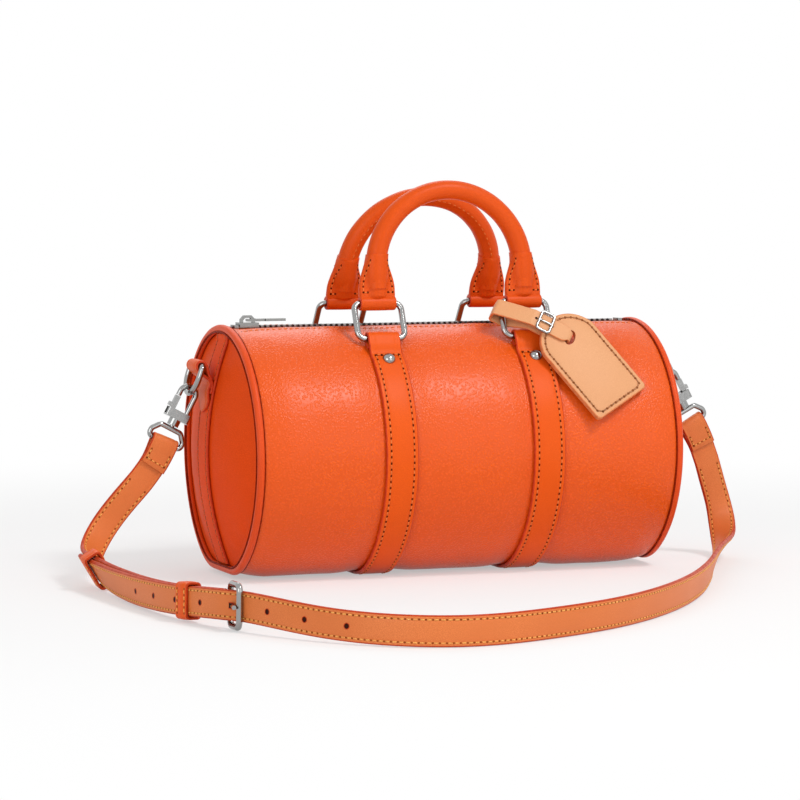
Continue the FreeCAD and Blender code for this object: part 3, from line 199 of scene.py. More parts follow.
def leather(name, tone, shade, cell, relief, rough, crease_shade=0.8, shine=0.25):
    """Leather with a grain of cells, duller in its creases and darkened there by painted shade, and soft mottling.
    """
    s = fresh(name)
    size = cell * MM
    grain = s.cells(1 / size, s.warped(0.35 / size, 0.5 * size))
    pebble = s.ramp(grain, 0.12, 0.62, 1.0, 0.0)
    pores = s.math("MULTIPLY", s.noise(4.0 / size, 3.0), 0.06)
    s.bump(s.math("ADD", pebble, pores), relief * MM)
    mottle = s.ramp(s.noise(26.0, 4.0), 0.3, 0.7)
    # Painted shade: the creases between the pebbles are darkened.
    crease_shade_colour = tuple(c * crease_shade for c in srgb(shade)[:3]) + (1.0,)
    colour = s.blend(pebble, crease_shade_colour, s.blend(mottle, srgb(shade), srgb(tone)))
    dull = s.ramp(s.math("MULTIPLY", pebble, mottle), 0.0, 1.0, rough + 0.1, rough)
    s.set(Base_Color=colour, Roughness=dull, Specular_IOR_Level=shine)
    return s.owner


def painted_edge(name, tone, shade, shine=0.2):
    """Thick edge paint: nearly smooth, a little uneven in colour and gloss."""
    s = fresh(name)
    blot = s.ramp(s.noise(420.0, 3.0), 0.3, 0.7)
    s.bump(blot, 0.04 * MM)
    colour = s.blend(blot, srgb(shade), srgb(tone))
    s.set(Base_Color=colour, Roughness=s.ramp(blot, 0.0, 1.0, 0.5, 0.36), Specular_IOR_Level=shine)
    return s.owner


def thread(name, tone, shade):
    """Waxed thread, with painted shade between its strands."""
    s = fresh(name)
    strand = s.ramp(s.noise(2400.0, 2.0), 0.35, 0.65)
    s.bump(strand, 0.06 * MM)
    s.set(Base_Color=s.blend(strand, srgb(shade), srgb(tone)), Roughness=0.6)
    return s.owner


def metal(name, tone, rough):
    """Polished plated metal with faint handling marks."""
    s = fresh(name)
    marks = s.ramp(s.noise(900.0, 5.0), 0.35, 0.75)
    s.bump(s.noise(700.0, 2.0), 0.012 * MM)
    s.set(Base_Color=tone, Metallic=1.0, Roughness=s.ramp(marks, 0.0, 1.0, rough, rough + 0.1))
    return s.owner


def woven(name, tone, shade, pitch):
    """Plain weave: two crossing sets of ridges."""
    s = fresh(name)
    inputs = {"Scale": 1 / (pitch * MM) / 6.28, "Distortion": 0.6, "Vector": s.where()}
    ridges = [s.add("TexWave", "Fac", inputs, bands_direction=axis) for axis in "XY"]
    cross = s.math("MULTIPLY", *ridges)
    s.bump(cross, 0.2 * MM)
    # The colour is darker between the ridges: painted shade.
    s.set(Base_Color=s.blend(s.ramp(cross, 0.0, 0.8), srgb(shade), srgb(tone)), Roughness=0.85)
    return s.owner


# Leathers: tone, shade, then the grain's cell and relief in millimetres, roughness, the painted shade
# in the creases, and shine
BODY = leather("pebbled_leather", (236, 95, 20), (230, 87, 15), 1.3, 0.13, 0.24, 0.92, 0.28)
# The end panel, strip and piping leathers are a little darker and redder than the barrel's: painted shade of the
# ends.
PANEL = leather("panel_leather", (240, 84, 20), (231, 76, 16), 0.75, 0.05, 0.46, 0.94, 0.06)
BEAD_SKIN = leather("piping_leather", (232, 84, 18), (222, 74, 14), 0.6, 0.03, 0.36, 0.94)
TRIM = leather("smooth_leather", (236, 96, 16), (228, 86, 12), 0.42, 0.014, 0.34, 0.95, 0.14)
GRIP = leather("handle_leather", (227, 89, 19), (218, 79, 14), 0.42, 0.014, 0.3, 0.95, 0.14)
STRAP = leather("strap_leather", (230, 132, 70), (218, 118, 59), 0.4, 0.012, 0.38, 0.94)
NATURAL = leather("natural_leather", (229, 170, 124), (222, 159, 111), 0.38, 0.012, 0.42, 0.95)
BOARD = leather("board", (120, 96, 72), (98, 78, 58), 0.6, 0.02, 0.7)

# Edges, and the painted shade of needle holes, seams and punched holes: tone, shade and shine
EDGE = painted_edge("edge_paint", (194, 66, 24), (176, 54, 19), 0.12)
TRIM_EDGE = painted_edge("trim_edge", (206, 66, 26), (186, 54, 22))
TAG_EDGE = painted_edge("tag_edge", (222, 138, 88), (204, 118, 70))
HOLE_SHADE = painted_edge("needle_hole", (116, 40, 12), (84, 26, 8), 0.02)
STRAP_HOLE_SHADE = painted_edge("strap_needle_hole", (160, 84, 36), (132, 64, 26), 0.02)
TAG_HOLE_SHADE = painted_edge("tag_needle_hole", (150, 90, 52), (124, 70, 38), 0.02)
SEAM_SHADE_CORD = painted_edge("seam_shadow", (144, 40, 10), (116, 28, 8), 0.02)
PUNCH_SHADE = painted_edge("punched_hole", (60, 24, 12), (34, 12, 8), 0.05)

THREAD = thread("orange_thread", (236, 124, 42), (208, 94, 28))
GOLD_THREAD = thread("gold_thread", (246, 184, 92), (216, 140, 60))
TAG_THREAD = thread("tag_thread", (188, 126, 78), (150, 94, 54))
DARK_THREAD = thread("dark_thread", (206, 88, 30), (170, 62, 20))

# Metals: linear colour and roughness. Cloths: tone, shade and the pitch of the weave in millimetres
SILVER = metal("silver_plate", (0.33, 0.33, 0.325, 1.0), 0.1)
ZIP_METAL = metal("zip_plate", (0.2, 0.2, 0.195, 1.0), 0.14)
TAPE = woven("zip_tape", (150, 40, 34), (110, 24, 22), 0.55)
LINING = woven("lining_cloth", (120, 44, 30), (92, 30, 22), 0.5)
CORE = woven("core_cord", (214, 196, 160), (180, 160, 124), 1.2)

FINISH = dict(
    body_leather=BODY, trim_leather=TRIM, lining_cloth=LINING, board=BOARD, zip_tape=TAPE,
    zip_metal=ZIP_METAL, silver_metal=SILVER, core_cord=CORE, strap_leather=STRAP, tag_leather=NATURAL,
)
for item in frame["record"]["subparts"]:
    slots = frame["nodes"][item["node"]].data.materials
    slots.clear()
    slots.append(FINISH[item["material_slot"]])


# Building meshes


def put(name, data):
    """A new object in the scene."""
    thing = bpy.data.objects.new(name, data)
    bpy.context.scene.collection.objects.link(thing)
    return thing


def solid(name, work, materials, sharp=50):
    """A new object from a bmesh, smooth but for edges over an angle."""
    bmesh.ops.recalc_face_normals(work, faces=work.faces)
    mesh = bpy.data.meshes.new(name)
    work.to_mesh(mesh)
    work.free()
    for material in materials:
        mesh.materials.append(material)
    mesh.shade_smooth()
    mesh.set_sharp_from_angle(angle=math.radians(sharp))
    return put(name, mesh)


def show(thing, *nodes, body="bag", slot="trim_leather"):
    """Say which body carries a piece and hide the solids that it stands for. Its finish, slot, is not used."""
    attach(thing, body)
    if nodes:
        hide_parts(*nodes)


class Form:
    """Gathers skins over points, and makes one object of them."""

    def __init__(self):
        self.points, self.faces, self.picks = [], [], []

    def skin(self, rings, pick=0, loop=False):
        """Faces over rings of equal count, capped at both ends or joined in a loop.

        pick is a material number, or a list of one for each strip of a ring.
        """
        count = len(rings[0])
        first = len(self.points)
        self.points.extend(p for ring in rings for p in ring)
        strips = [pick] * count if isinstance(pick, int) else pick
        for i in range(len(rings) if loop else len(rings) - 1):
            a = first + i * count
            b = first + (i + 1) % len(rings) * count
            for j in range(count):
                k = (j + 1) % count
                self.faces.append((a + j, a + k, b + k, b + j))
                self.picks.append(strips[j])
        if not loop:
            for start in (first, len(self.points) - count):
                self.faces.append(tuple(range(start, start + count)))
                self.picks.append(max(strips))
        return self

    def slab(self, grid, edge=0):
        """A sheet over a grid of (top, under) points, closed round its border."""
        rows, cols = len(grid), len(grid[0])
        first = len(self.points)
        for layer in (0, 1):
            self.points.extend(pair[layer] for row in grid for pair in row)

        def at(i, j, layer):
            return first + (layer * rows + i) * cols + j

        for i in range(rows - 1):
            for j in range(cols - 1):
                for layer in (0, 1):
                    corners = ((i, j), (i, j + 1), (i + 1, j + 1), (i + 1, j))
                    self.faces.append(tuple(at(*corner, layer) for corner in corners))
                    self.picks.append(0)
        border = [(i, 0) for i in range(rows)] + [(rows - 1, j) for j in range(1, cols)]
        border += [(i, cols - 1) for i in range(rows - 2, -1, -1)]
        border += [(0, j) for j in range(cols - 2, 0, -1)]
        for a, b in pairs(border):
            self.faces.append((at(*a, 0), at(*b, 0), at(*b, 1), at(*a, 1)))
            self.picks.append(edge)
        return self

    def make(self, name, *materials):
        work = bmesh.new()
        points = [work.verts.new(p * MM) for p in self.points]
        for face, pick in zip(self.faces, self.picks):
            work.faces.new([points[k] for k in face]).material_index = pick
        return solid(name, work, materials)


def section(width, thick, inset=0.0, groove=0.22, crown=0.12, edge=0.85):
    """Points (across, out) round a leather strip, and a 1 for each strip of its painted edges.

    The edges are rounded, the faces crowned, and stitches lie in a groove at the inset.
    """
    groove_half = 0.75
    half, t = width / 2, thick / 2
    r = edge * t
    quarter = [(half, 0.0)] + arc((25, 50, 70, 90), r, r, half - r, t - r)
    if inset:
        row = half - inset
        quarter += [(row + groove_half, t), (row, t - groove), (row - groove_half, t)]
    quarter += [(0.45 * half, t + 0.75 * crown), (0.0, t + crown)]
    back = quarter[::-1]
    ring = quarter + [(-a, b) for a, b in back[1:]]
    ring += [(-a, -b) for a, b in quarter[1:]] + [(a, -b) for a, b in back[1:-1]]
    picks = []
    for p, q in pairs(ring):
        picks.append(1 if min(abs(p[0]), abs(q[0])) > half - 0.7 * r else 0)
    return ring, picks


def placed(ring, at, across, out, wide=1.0, thick=1.0):
    return [at + across * (a * wide) + out * (b * thick) for a, b in ring]


def round_end(d, reach, least):
    """The width of a strip as a share, at a distance from its round end."""
    return max(least, math.sqrt(max(0.0, 1 - max(0.0, 1 - d / reach) ** 2)))


def swept(profile, frames, loop=False):
    """A strip of a section, set at each (place, across, out, width share, thickness share)."""
    ring, picks = profile
    return Form().skin([placed(ring, *spot) for spot in frames], picks, loop)


def arc(degrees, wide, tall, x=0.0, y=0.0):
    """Points round an ellipse, at angles in degrees."""
    turns = [math.radians(d) for d in degrees]
    return [(x + wide * math.cos(t), y + tall * math.sin(t)) for t in turns]


def disc(radius, count):
    return arc([360 * k / count for k in range(count)], radius, radius)


def turned(profile, count, at, side, other, out):
    """Rings of a round form, from pairs of radius and height along its axis."""
    return [placed(disc(radius, count), at + out * lift, side, other) for radius, lift in profile]


class Route:
    """A smooth curve through points, measured by distance along it."""

    FINE = 32

    def __init__(self, points):
        p = np.array([tuple(v) for v in points], float)
        step = np.linalg.norm(np.diff(p, axis=0), axis=1)
        slope = np.diff(p, axis=0) / step[:, None]
        count = len(p)
        a = np.zeros((count, count))
        b = np.zeros((count, p.shape[1]))
        a[0, 0] = a[-1, -1] = 1
        b[0] = slope[0] + (slope[0] - slope[1]) * step[0] / (step[0] + step[1])
        b[-1] = slope[-1] + (slope[-1] - slope[-2]) * step[-1] / (step[-1] + step[-2])
        for i in range(1, count - 1):
            a[i, i - 1 : i + 2] = step[i], 2 * (step[i - 1] + step[i]), step[i - 1]
            b[i] = 3 * (step[i] * slope[i - 1] + step[i - 1] * slope[i])
        rate = np.linalg.solve(a, b)
        spots = [(i, k / self.FINE) for i in range(count - 1) for k in range(self.FINE)]
        spots.append((count - 2, 1.0))
        fine = []
        for i, t in spots:
            fine.append(
                (1 + 2 * t) * (1 - t) ** 2 * p[i]
                + t * (1 - t) ** 2 * step[i] * rate[i]
                + t * t * (3 - 2 * t) * p[i + 1]
                + t * t * (t - 1) * step[i] * rate[i + 1]
            )
        self.fine = np.array(fine)
        self.stations = [i + t for i, t in spots]
        lengths = np.linalg.norm(np.diff(self.fine, axis=0), axis=1)
        self.run = np.concatenate([[0], np.cumsum(lengths)])
        self.length = self.run[-1]

    def at(self, along):
        return Vector([np.interp(along, self.run, line) for line in self.fine.T])

    def ahead(self, along, reach=0.4):
        d = self.at(min(along + reach, self.length)) - self.at(max(along - reach, 0.0))
        return d.normalized()

    def station(self, along):
        """How many points have been passed, with the part of the next."""
        return float(np.interp(along, self.run, self.stations))

    def steps(self, pitch):
        return every(0.0, self.length, pitch)


PITCH = 3.3
# A stitch: where along it, how high and how thick. A needle hole, a disc of painted shade: radius and height
STITCH = ((0.17, -0.3, 0.24), (0.3, 0.15, 0.42), (0.7, 0.15, 0.42), (0.83, -0.3, 0.24))
NEEDLE_HOLE = ((0.82, -0.2), (0.72, 0.06))


def sew(form, row, size=1.0):
    """Stitches between (place, outward) points, with a needle hole of painted shade at each."""
    for (p0, n0), (p1, n1) in zip(row, row[1:]):
        out = (n0 + n1).normalized()
        side = out.cross((p1 - p0).normalized())
        rings = []
        for t, lift, thick in STITCH:
            middle = p0.lerp(p1, t) + out * (lift * size)
            rings.append(placed(disc(thick, 6), middle, side, out, size, size))
        form.skin(rings)
    for place, out in row:
        side = out.orthogonal().normalized()
        hole = [(radius * size, lift) for radius, lift in NEEDLE_HOLE]
        form.skin(turned(hole, 6, place, side, out.cross(side), out), 1)


def sew_line(form, points, out, size=0.9, pitch=PITCH):
    """Stitches along a smooth line on a face that looks one way."""
    route = Route(points)
    sew(form, [(route.at(s), out) for s in route.steps(pitch)], size)


# The barrel's outline: round, with a flat base and an eased bend beside it

shell_low, shell_high = (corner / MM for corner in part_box("barrel_shell"))
HALF = shell_high.x
RADIUS = shell_high.y
FLAT = shell_low.z
AXIS = 68.5
CORNER = 38.0
SLIT = 4.8
corner_z = FLAT + CORNER - AXIS
corner_y = math.sqrt((RADIUS - CORNER) ** 2 - corner_z**2)
main_turn = math.pi - math.atan2(corner_y, -corner_z)
main_run = RADIUS * main_turn
corner_run = CORNER * (math.pi - main_turn)
GIRTH = 2 * (main_run + corner_run + corner_y)


def outline(run, lift=0.0):
    """Place and outward direction on the barrel's outline, from the top forwards, at x = 0."""
    run = (run + GIRTH / 2) % GIRTH - GIRTH / 2
    side = -1 if run >= 0 else 1
    s = abs(run)
    if s < main_run:
        turn = s / RADIUS
        y, z, radius = 0.0, 0.0, RADIUS
    elif s < main_run + corner_run:
        turn = main_turn + (s - main_run) / CORNER
        y, z, radius = corner_y, corner_z, CORNER
    else:
        turn = math.pi
        y, z, radius = GIRTH / 2 - s, FLAT - AXIS, 0.0
    out = Vector((0, side * math.sin(turn), math.cos(turn)))
    return Vector((0, side * y, AXIS + z)) + out * (radius + lift), out


# Barrel: one soft sheet, drawn in at the end seams and along the zip

BAND_X = 43.0
BANDS = [sign * BAND_X for _, sign in SIDES]
BAND_WIDE = 18.4
SHEET = 1.7
LIP_DROP = 1.55
BULGE = 1.2
ZIP_ROW = 13.0
ZIP_ROW_END = 5.0
LINING_GAP = 1.95


def swell(x, run):
    """How far the leather stands off its plain outline."""
    from_end = HALF - abs(x)
    from_slit = min(run, GIRTH - run) - SLIT
    from_band = min(abs(x - middle) for middle in BANDS) - BAND_WIDE / 2 + 0.5
    loose = 0.2 + 0.42 * ripple(x, run, 34, 1.7) + 0.16 * ripple(x, run, 12, 5.1)
    held = ease(from_band / 9.0) * ease(from_end / 9.0)
    pillow = ease(from_band / 16.0) * ease((from_end - 2.0) / 16.0) * ease((from_slit - 4.0) / 24.0)
    lip = 1 - ease((from_slit - 1.0) / 11.0)
    stitch_line = 0.22 * dip(from_slit - ZIP_ROW, 0.7)
    seam = 1.5 * math.exp(-from_end / 1.5) + 1.1 * math.exp(-from_end / 6.5)
    return loose * held + BULGE * pillow - 0.12 - LIP_DROP * lip - stitch_line - seam


def barrel_layers(x, run):
    """Points on the outer and the inner face of the barrel's leather."""
    place, out = outline(run)
    lift = swell(x, run)
    return [place + out * level + X * x for level in (lift, max(lift - SHEET, -LINING_GAP))]


# Columns crowd towards the end seams, and rows towards the zip.
crowd = 0.94 * math.pi / 2
columns = [HALF * math.sin(t * crowd) / math.sin(crowd) for t in spread(-1, 1, 96)]
runs = []
for u in spread(0, 1, 180):
    runs.append(SLIT + (GIRTH - 2 * SLIT) * (u - 0.011 * math.sin(2 * math.pi * u)))
barrel = Form().slab([[barrel_layers(x, run) for run in runs] for x in columns], edge=1)
show(barrel.make("barrel_leather", BODY, TRIM_EDGE), "barrel_shell", slot="body_leather")

rows = Form()
for sign in BOTH:
    run = sign * (SLIT + ZIP_ROW)
    place, out = outline(run)
    line = []
    for k in range(int((2 * HALF - 2 * ZIP_ROW_END) / PITCH) + 1):
        x = -HALF + ZIP_ROW_END + k * PITCH
        line.append((place + out * swell(x, run % GIRTH) + X * x, out))
    sew(rows, line)
show(rows.make("zip_edge_stitches", THREAD, HOLE_SHADE))

# Zip tapes, under the edges of the slit

TAPE_TOP = RADIUS - 2.08
TAPE_HALF = 117.4
TAPE_INNER = 1.8
TAPE_OUTER = 11.8
TAPE_THICK = 0.75
for face, sign in FACES:
    grid = []
    for x in spread(-TAPE_HALF, TAPE_HALF, 60):
        line = []
        for y in spread(TAPE_INNER, TAPE_OUTER, 8):
            top = Vector((x, sign * y, AXIS + math.sqrt(TAPE_TOP**2 - y * y)))
            line.append((top, top - Z * TAPE_THICK))
        grid.append(line)
    tape = Form().slab(grid)
    show(tape.make("tape_" + face, TAPE), "zipper_tape_" + face, slot="zip_tape")

# Ends: piping, domed panel, strip and ring tab

BEAD = 2.15
# Dark cords of painted shade in the seams on both sides of the piping: distance past the barrel's edge, and inset
END_SEAM_SHADES = ((-1.25, 1.15), (2.35, 3.9))
DOME_REACH = RADIUS - 9.6
DOME_RISE = 11.5
PANEL_THICK = 1.8
PANEL_INSET = 4.3
PUCKER_RADIUS = 55
STRIP_WIDE = 18.6
STRIP_THICK = 1.5
STRIP_INSET = 2.4
TAB_WIDE = 18.4
TAB_THICK = 1.5
TAB_INSET = 2.2
TAB_FOLD = 1.6 + 0.35 + TAB_THICK / 2


def dome(y, z):
    """How far the end panel stands out, at a place on the end."""
    return DOME_RISE * max(0.0, 1 - (math.hypot(y, z - AXIS) / DOME_REACH) ** 2)


def on_dome(sign, z, lift):
    """A place over the end panel's upright middle line, and the outward direction there."""
    out = Vector((sign, 0, 2 * DOME_RISE * (z - AXIS) / DOME_REACH**2)).normalized()
    return Vector((sign * (HALF + dome(0, z)), 0, z)) + out * lift, out


def hoop(form, x, inset, radius, sides, count=150):
    """A round cord along the barrel's outline, set in from it."""
    rings = []
    for k in range(count):
        place, out = outline(GIRTH * k / count, -inset)
        rings.append(placed(disc(radius, sides), place + X * x, X, out))
    form.skin(rings, loop=True)


def piping(side, sign):
    bead = Form()
    hoop(bead, sign * (HALF + 0.5), BEAD, BEAD, 14)
    show(bead.make("bead_" + side, BEAD_SKIN), "piping_" + side)
    seam_shades = Form()
    for past, inset in END_SEAM_SHADES:
        hoop(seam_shades, sign * (HALF + past), inset, 0.6, 6)
    show(seam_shades.make("end_seam_shades_" + side, SEAM_SHADE_CORD))


def end_panel(side, sign, rings=24, count=132):
    """A domed panel: tucked in at its rim, a little puckered inside it, and flat under the strip."""
    outer = []
    for i in range(rings + 1):
        f = 1 - 0.985 * (i / rings) ** 1.15
        ring = []
        for k in range(count):
            edge, _ = outline(GIRTH * k / count, -PANEL_INSET)
            y = edge.y * f
            z = AXIS + (edge.z - AXIS) * f
            from_strip = abs(y) - STRIP_WIDE / 2 - 0.2
            pucker = 0.2 * dip(math.hypot(y, z - AXIS) - PUCKER_RADIUS, 6) * ease(from_strip / 6)
            pucker *= math.sin(0.9 * k + 3 * ripple(y, z, 18, sign))
            soft = 0.25 * ripple(y, z, 22, 7.0 * sign) * ease(from_strip / 10)
            tuck = 0.8 * ease((f - 0.96) / 0.04)
            x = HALF + dome(y, z) + (pucker + soft) * ease((1 - f) / 0.1) - tuck
            ring.append(Vector((sign * x, y, z)))
        outer.append(ring)
    inner = [[p - X * (sign * PANEL_THICK) for p in ring] for ring in outer[::-1]]
    panel = Form().skin(inner + outer)
    show(panel.make("panel_" + side, PANEL), "end_panel_" + side, slot="body_leather")


def end_strip(side, sign):
    frames, middle = [], []
    for z in spread(FLAT + 5.6, AXIS + RADIUS - 5.8, 63):
        at, out = on_dome(sign, z, STRIP_THICK / 2 + 0.08)
        frames.append((at, Y, out))
        middle.append(at + out * (STRIP_THICK / 2 - 0.2))
    strip = swept(section(STRIP_WIDE, STRIP_THICK - 0.1, STRIP_INSET), frames)
    show(strip.make("strip_" + side, PANEL, TRIM_EDGE), "end_strip_" + side)
    rows = Form()
    for edge in (-1, 1):
        aside = Y * (edge * (STRIP_WIDE / 2 - STRIP_INSET))
        sew_line(rows, [place + aside for place in middle], X * sign)
    show(rows.make("strip_stitches_" + side, DARK_THREAD, HOLE_SHADE))


def ring_tab(side, sign):
    """Up behind the D-ring's bar, over it and down again to a round end, sewn to the strip."""
    bar = PIVOTS[side + "_ring_swing"].copy()
    bar.y = 0.0

    def on_strip(z, lift):
        return on_dome(sign, z, STRIP_THICK + lift)[0]

    path = [on_strip(101, 0.75), on_strip(106, 0.9), Vector((sign * 133.3, 0, 113.4))]
    path += [bar + around(turn, X * sign, Z) * TAB_FOLD for turn in (170, 125, 80, 35, -10, -45)]
    path += [Vector((sign * 135.6, 0, 111.4)), Vector((sign * 131.9, 0, 107.2))]
    path += [on_strip(102.5, 2.3), on_strip(97.5, 1.2), on_strip(90.9, 0.8)]
    route = Route(path)
    frames, sewn = [], []
    for s in route.steps(0.9):
        at = route.at(s)
        out = route.ahead(s).cross(Y) * -sign
        left = route.length - s
        wide = round_end(left, TAB_WIDE / 2, 0.12)
        frames.append((at, Y, out, wide))
        if 2.4 < left < 24 and wide * TAB_WIDE / 2 > 2.6:
            sewn.append((at + out * 0.62, wide * TAB_WIDE / 2 - TAB_INSET))
    tab = swept(section(TAB_WIDE, TAB_THICK, TAB_INSET), frames)
    show(tab.make("ring_tab_leather_" + side, TRIM, TRIM_EDGE), "ring_tab_" + side)
    rows = Form()
    for edge in (-1, 1):
        sew_line(rows, [at + Y * (edge * aside) for at, aside in sewn[::3]], frames[-1][2])
    show(rows.make("ring_tab_stitches_" + side, THREAD, HOLE_SHADE))


for side, sign in SIDES:
    piping(side, sign)
    end_panel(side, sign)
    end_strip(side, sign)
    ring_tab(side, sign)

# Bands: round the barrel from one ring to the other, each end folded round its ring

BAND_THICK = 2.2
BAND_INSET = 2.6
BAND_MIDDLE = BAND_THICK / 2 + 0.1
RING_WIRE = 3.4
LOOP = RING_WIRE / 2 + 0.35 + 0.9
band_bar = PIVOTS["front_rings_swing"]
loop_run = RADIUS * math.atan2(-band_bar.y, band_bar.z - AXIS)


def band_line():
    """From under the front ring's fold, round its bar, under the barrel, and up to the back alike."""
    _, out = outline(loop_run)
    along = out.cross(X)
    bar = Vector((0, band_bar.y, band_bar.z))
    line = [outline(loop_run + 4.5, 0.5)[0], outline(loop_run + 1.0, 0.95)[0]]
    line += [bar + around(turn, along, out) * LOOP for turn in range(-60, 141, 40)]
    line.append(outline(loop_run + 5.6, 3.7)[0])
    run = loop_run + 9.0
    while run < GIRTH / 2 - 3:
        line.append(outline(run, BAND_MIDDLE)[0])
        run += 6.0
    mirrored = [Vector((0, -p.y, p.z)) for p in line[::-1]]
    return line + [outline(GIRTH / 2, BAND_MIDDLE)[0]] + mirrored


band_route = Route(band_line())
row_start = loop_run + 11.5
row_end = GIRTH - row_start
row_x = BAND_WIDE / 2 - BAND_INSET
row_level = BAND_THICK - 0.08
for side, sign in SIDES:
    shift = X * (sign * BAND_X)
    frames = []
    for s in band_route.steps(1.6):
        thin = mix(0.82, 1.0, ease((min(s, band_route.length - s) - 22) / 8))
        frames.append((band_route.at(s) + shift, X, band_route.ahead(s).cross(X), 1.0, thin))
    band = swept(section(BAND_WIDE, BAND_THICK - 0.1, BAND_INSET), frames)
    show(band.make("band_leather_" + side, TRIM, TRIM_EDGE), "band_" + side)
    rows = Form()
    for x in (-row_x, row_x):
        spots = [outline(run, row_level) for run in every(row_start, row_end, PITCH)]
        sew(rows, [(place + shift + X * x, out) for place, out in spots])
    for run in (row_start, row_end):
        place, out = outline(run, row_level + 0.15)
        sew(rows, [(place + shift + X * x, out) for x in spread(-row_x, row_x, 4)])
    show(rows.make("band_stitches_" + side, THREAD, HOLE_SHADE))

# Rivets: a low polished dome in a turned rim

RIVET_RUN = RADIUS * math.radians(43.5)
RIVET = [(3.5, -0.5), (3.5, 0.3)] + arc(range(5, 90, 12), 3.4, 2.5, 0.0, 0.4)
rivets = Form()
for x in BANDS:
    for way in BOTH:
        place, out = outline(way * RIVET_RUN, BAND_THICK)
        rivets.skin(turned(RIVET, 32, place + X * x, X, out.cross(X), out))
show(rivets.make("rivet_domes", SILVER), "band_rivets", slot="silver_metal")

# Handles: a rolled tube with a seam on its inner face, and a tab that opens flat at each foot.
# Heights are over the bar of the rings.

LEG = 19.0
ARCH = 43.0
TUBE_FOOT = 8.0
TUBE = 5.75
TUBE_TOP = 5.3
TAB_HALF = 10.4
TAB_TALL = 27.0
TAB_ROW = 6.0
SEAM_TURN = 4.3
HANDLE_LEANS = {"front": 4, "back": 16}
HANDLE_LONG = 2 * (LEG - TUBE_FOOT) + math.pi * ARCH


class Plane:
    """The leaning plane that a handle stands in."""

    def __init__(self, face, sign):
        lean = HANDLE_LEANS[face]
        self.foot = PIVOTS[face + "_handle_swing"]
        self.rise = around(lean, Z, Y * -sign)
        self.outward = around(lean, Y * sign, Z)

    def at(self, x, h, d):
        return self.foot + X * x + self.rise * h + self.outward * d


def handle_point(along):
    """Place (x, height) and outward direction in the plane, along the tube from its left foot."""
    leg = LEG - TUBE_FOOT
    turn = max(0.0, min(math.pi, (along - leg) / ARCH))
    out = Vector((-math.cos(turn), math.sin(turn)))
    below = max(0.0, leg - along, along - leg - math.pi * ARCH)
    return Vector((0, LEG - below)) + out * ARCH, out


def tab_spot(plane, half, x, h, d):
    """A place on a tab, which follows the arch inwards over the leg."""
    return plane.at(half * math.sqrt(ARCH**2 - max(0.0, h - LEG) ** 2) + x, h, d)


def tab_half(h):
    """Half the width of a tab, at a height."""
    return mix(TAB_HALF, TUBE + 0.45, ease((h - TUBE_FOOT) / (TAB_TALL - TUBE_FOOT)))


def tab_depth(x, h):
    """How far the tab's face stands out: two flat wings, and the tube between them."""
    tube = mix(2.4, 4.7, ease((h - 1.6) / 2.4)) + (TUBE - 4.35) * ease((h - 4.0) / 13.0)
    hump = tube * math.sqrt(max(0.0, 1 - (x / (tube + 0.9)) ** 2))
    return max(mix(2.3, 1.7, ease((h - 5) / 6)), hump)


def tube_spot(plane, s, r, turn, lift=0.0):
    """A place on the tube, at a length along it and an angle round it."""
    at, out = handle_point(s)
    p = at + out * (r * math.cos(turn))
    return plane.at(p.x, p.y, r * math.sin(turn) + lift)


def handle_tube(plane, sign, sides=28):
    """The tube, slimmer at its top, and the line of its stitches beside the sunk seam."""
    rings, seam = [], []
    for s in spread(0.0, HANDLE_LONG, 120):
        from_top = abs(2 * s / HANDLE_LONG - 1)
        radius = mix(TUBE_TOP, TUBE, ease((from_top - 0.15) / 0.7)) + 0.1 * ripple(s, 27.0 * sign, 9, 2.0)
        ring = []
        for j in range(sides):
            turn = 2 * math.pi * j / sides
            off = math.remainder(turn - SEAM_TURN, 2 * math.pi)
            r = radius - 0.55 * dip(off, 0.16) + 0.18 * dip(abs(off) - 0.42, 0.2)
            ring.append(tube_spot(plane, s, r, turn))
        rings.append(ring)
        seam.append(tube_spot(plane, s, radius - 0.35, SEAM_TURN + 0.34, -0.18))
    return Form().skin(rings), seam[10:-10:4]


def handle_tab(plane, half):
    """A strip rolled round the ring's bar, and over it the tab that narrows into the tube."""
    roll, picks = section(2 * TAB_HALF, 1.8, edge=0.8)
    rings = []
    for turn in range(0, 360, 15):
        out = around(turn, plane.outward, plane.rise)
        rings.append(placed(roll, plane.at(half * ARCH, 0, 0) + out * LOOP, X, out))
    tab = Form().skin(rings, picks, loop=True)
    edge = 1.2
    rings = []
    for h in spread(1.8, TAB_TALL, 33):
        wide = tab_half(h)
        last = 1 - 0.5 * ease((h - TAB_TALL + edge) / edge)
        upper, lower = [], []
        for j in range(25):
            x = wide * math.sin(math.pi / 2 * (j / 12 - 1))
            depth = tab_depth(x, h) * round_end(wide - abs(x), edge, 0.0)
            if abs(x) < TUBE - 1:
                depth = mix(TUBE - 0.3, depth, last)
            upper.append(tab_spot(plane, half, x, h, depth))
            lower.append(tab_spot(plane, half, x, h, -depth))
        rings.append(upper + lower[-2:0:-1])
    return tab.skin(rings)


def sew_tab(rows, plane, half):
    """Stitches up both wings of a tab and across their feet, on both faces."""

    def on_face(way, x, h):
        return tab_spot(plane, half, x, h, way * (tab_depth(x, h) - 0.02))

    for way in BOTH:
        out = plane.outward * way
        for edge in (-1, 1):
            wing = [on_face(way, edge * (tab_half(h) - 1.9), h) for h in spread(TAB_ROW, 23.5, 6)]
            sew_line(rows, wing, out, pitch=3.0)
            sew(rows, [(on_face(way, edge * x, TAB_ROW), out) for x in (5.9, 8.5)], 0.9)


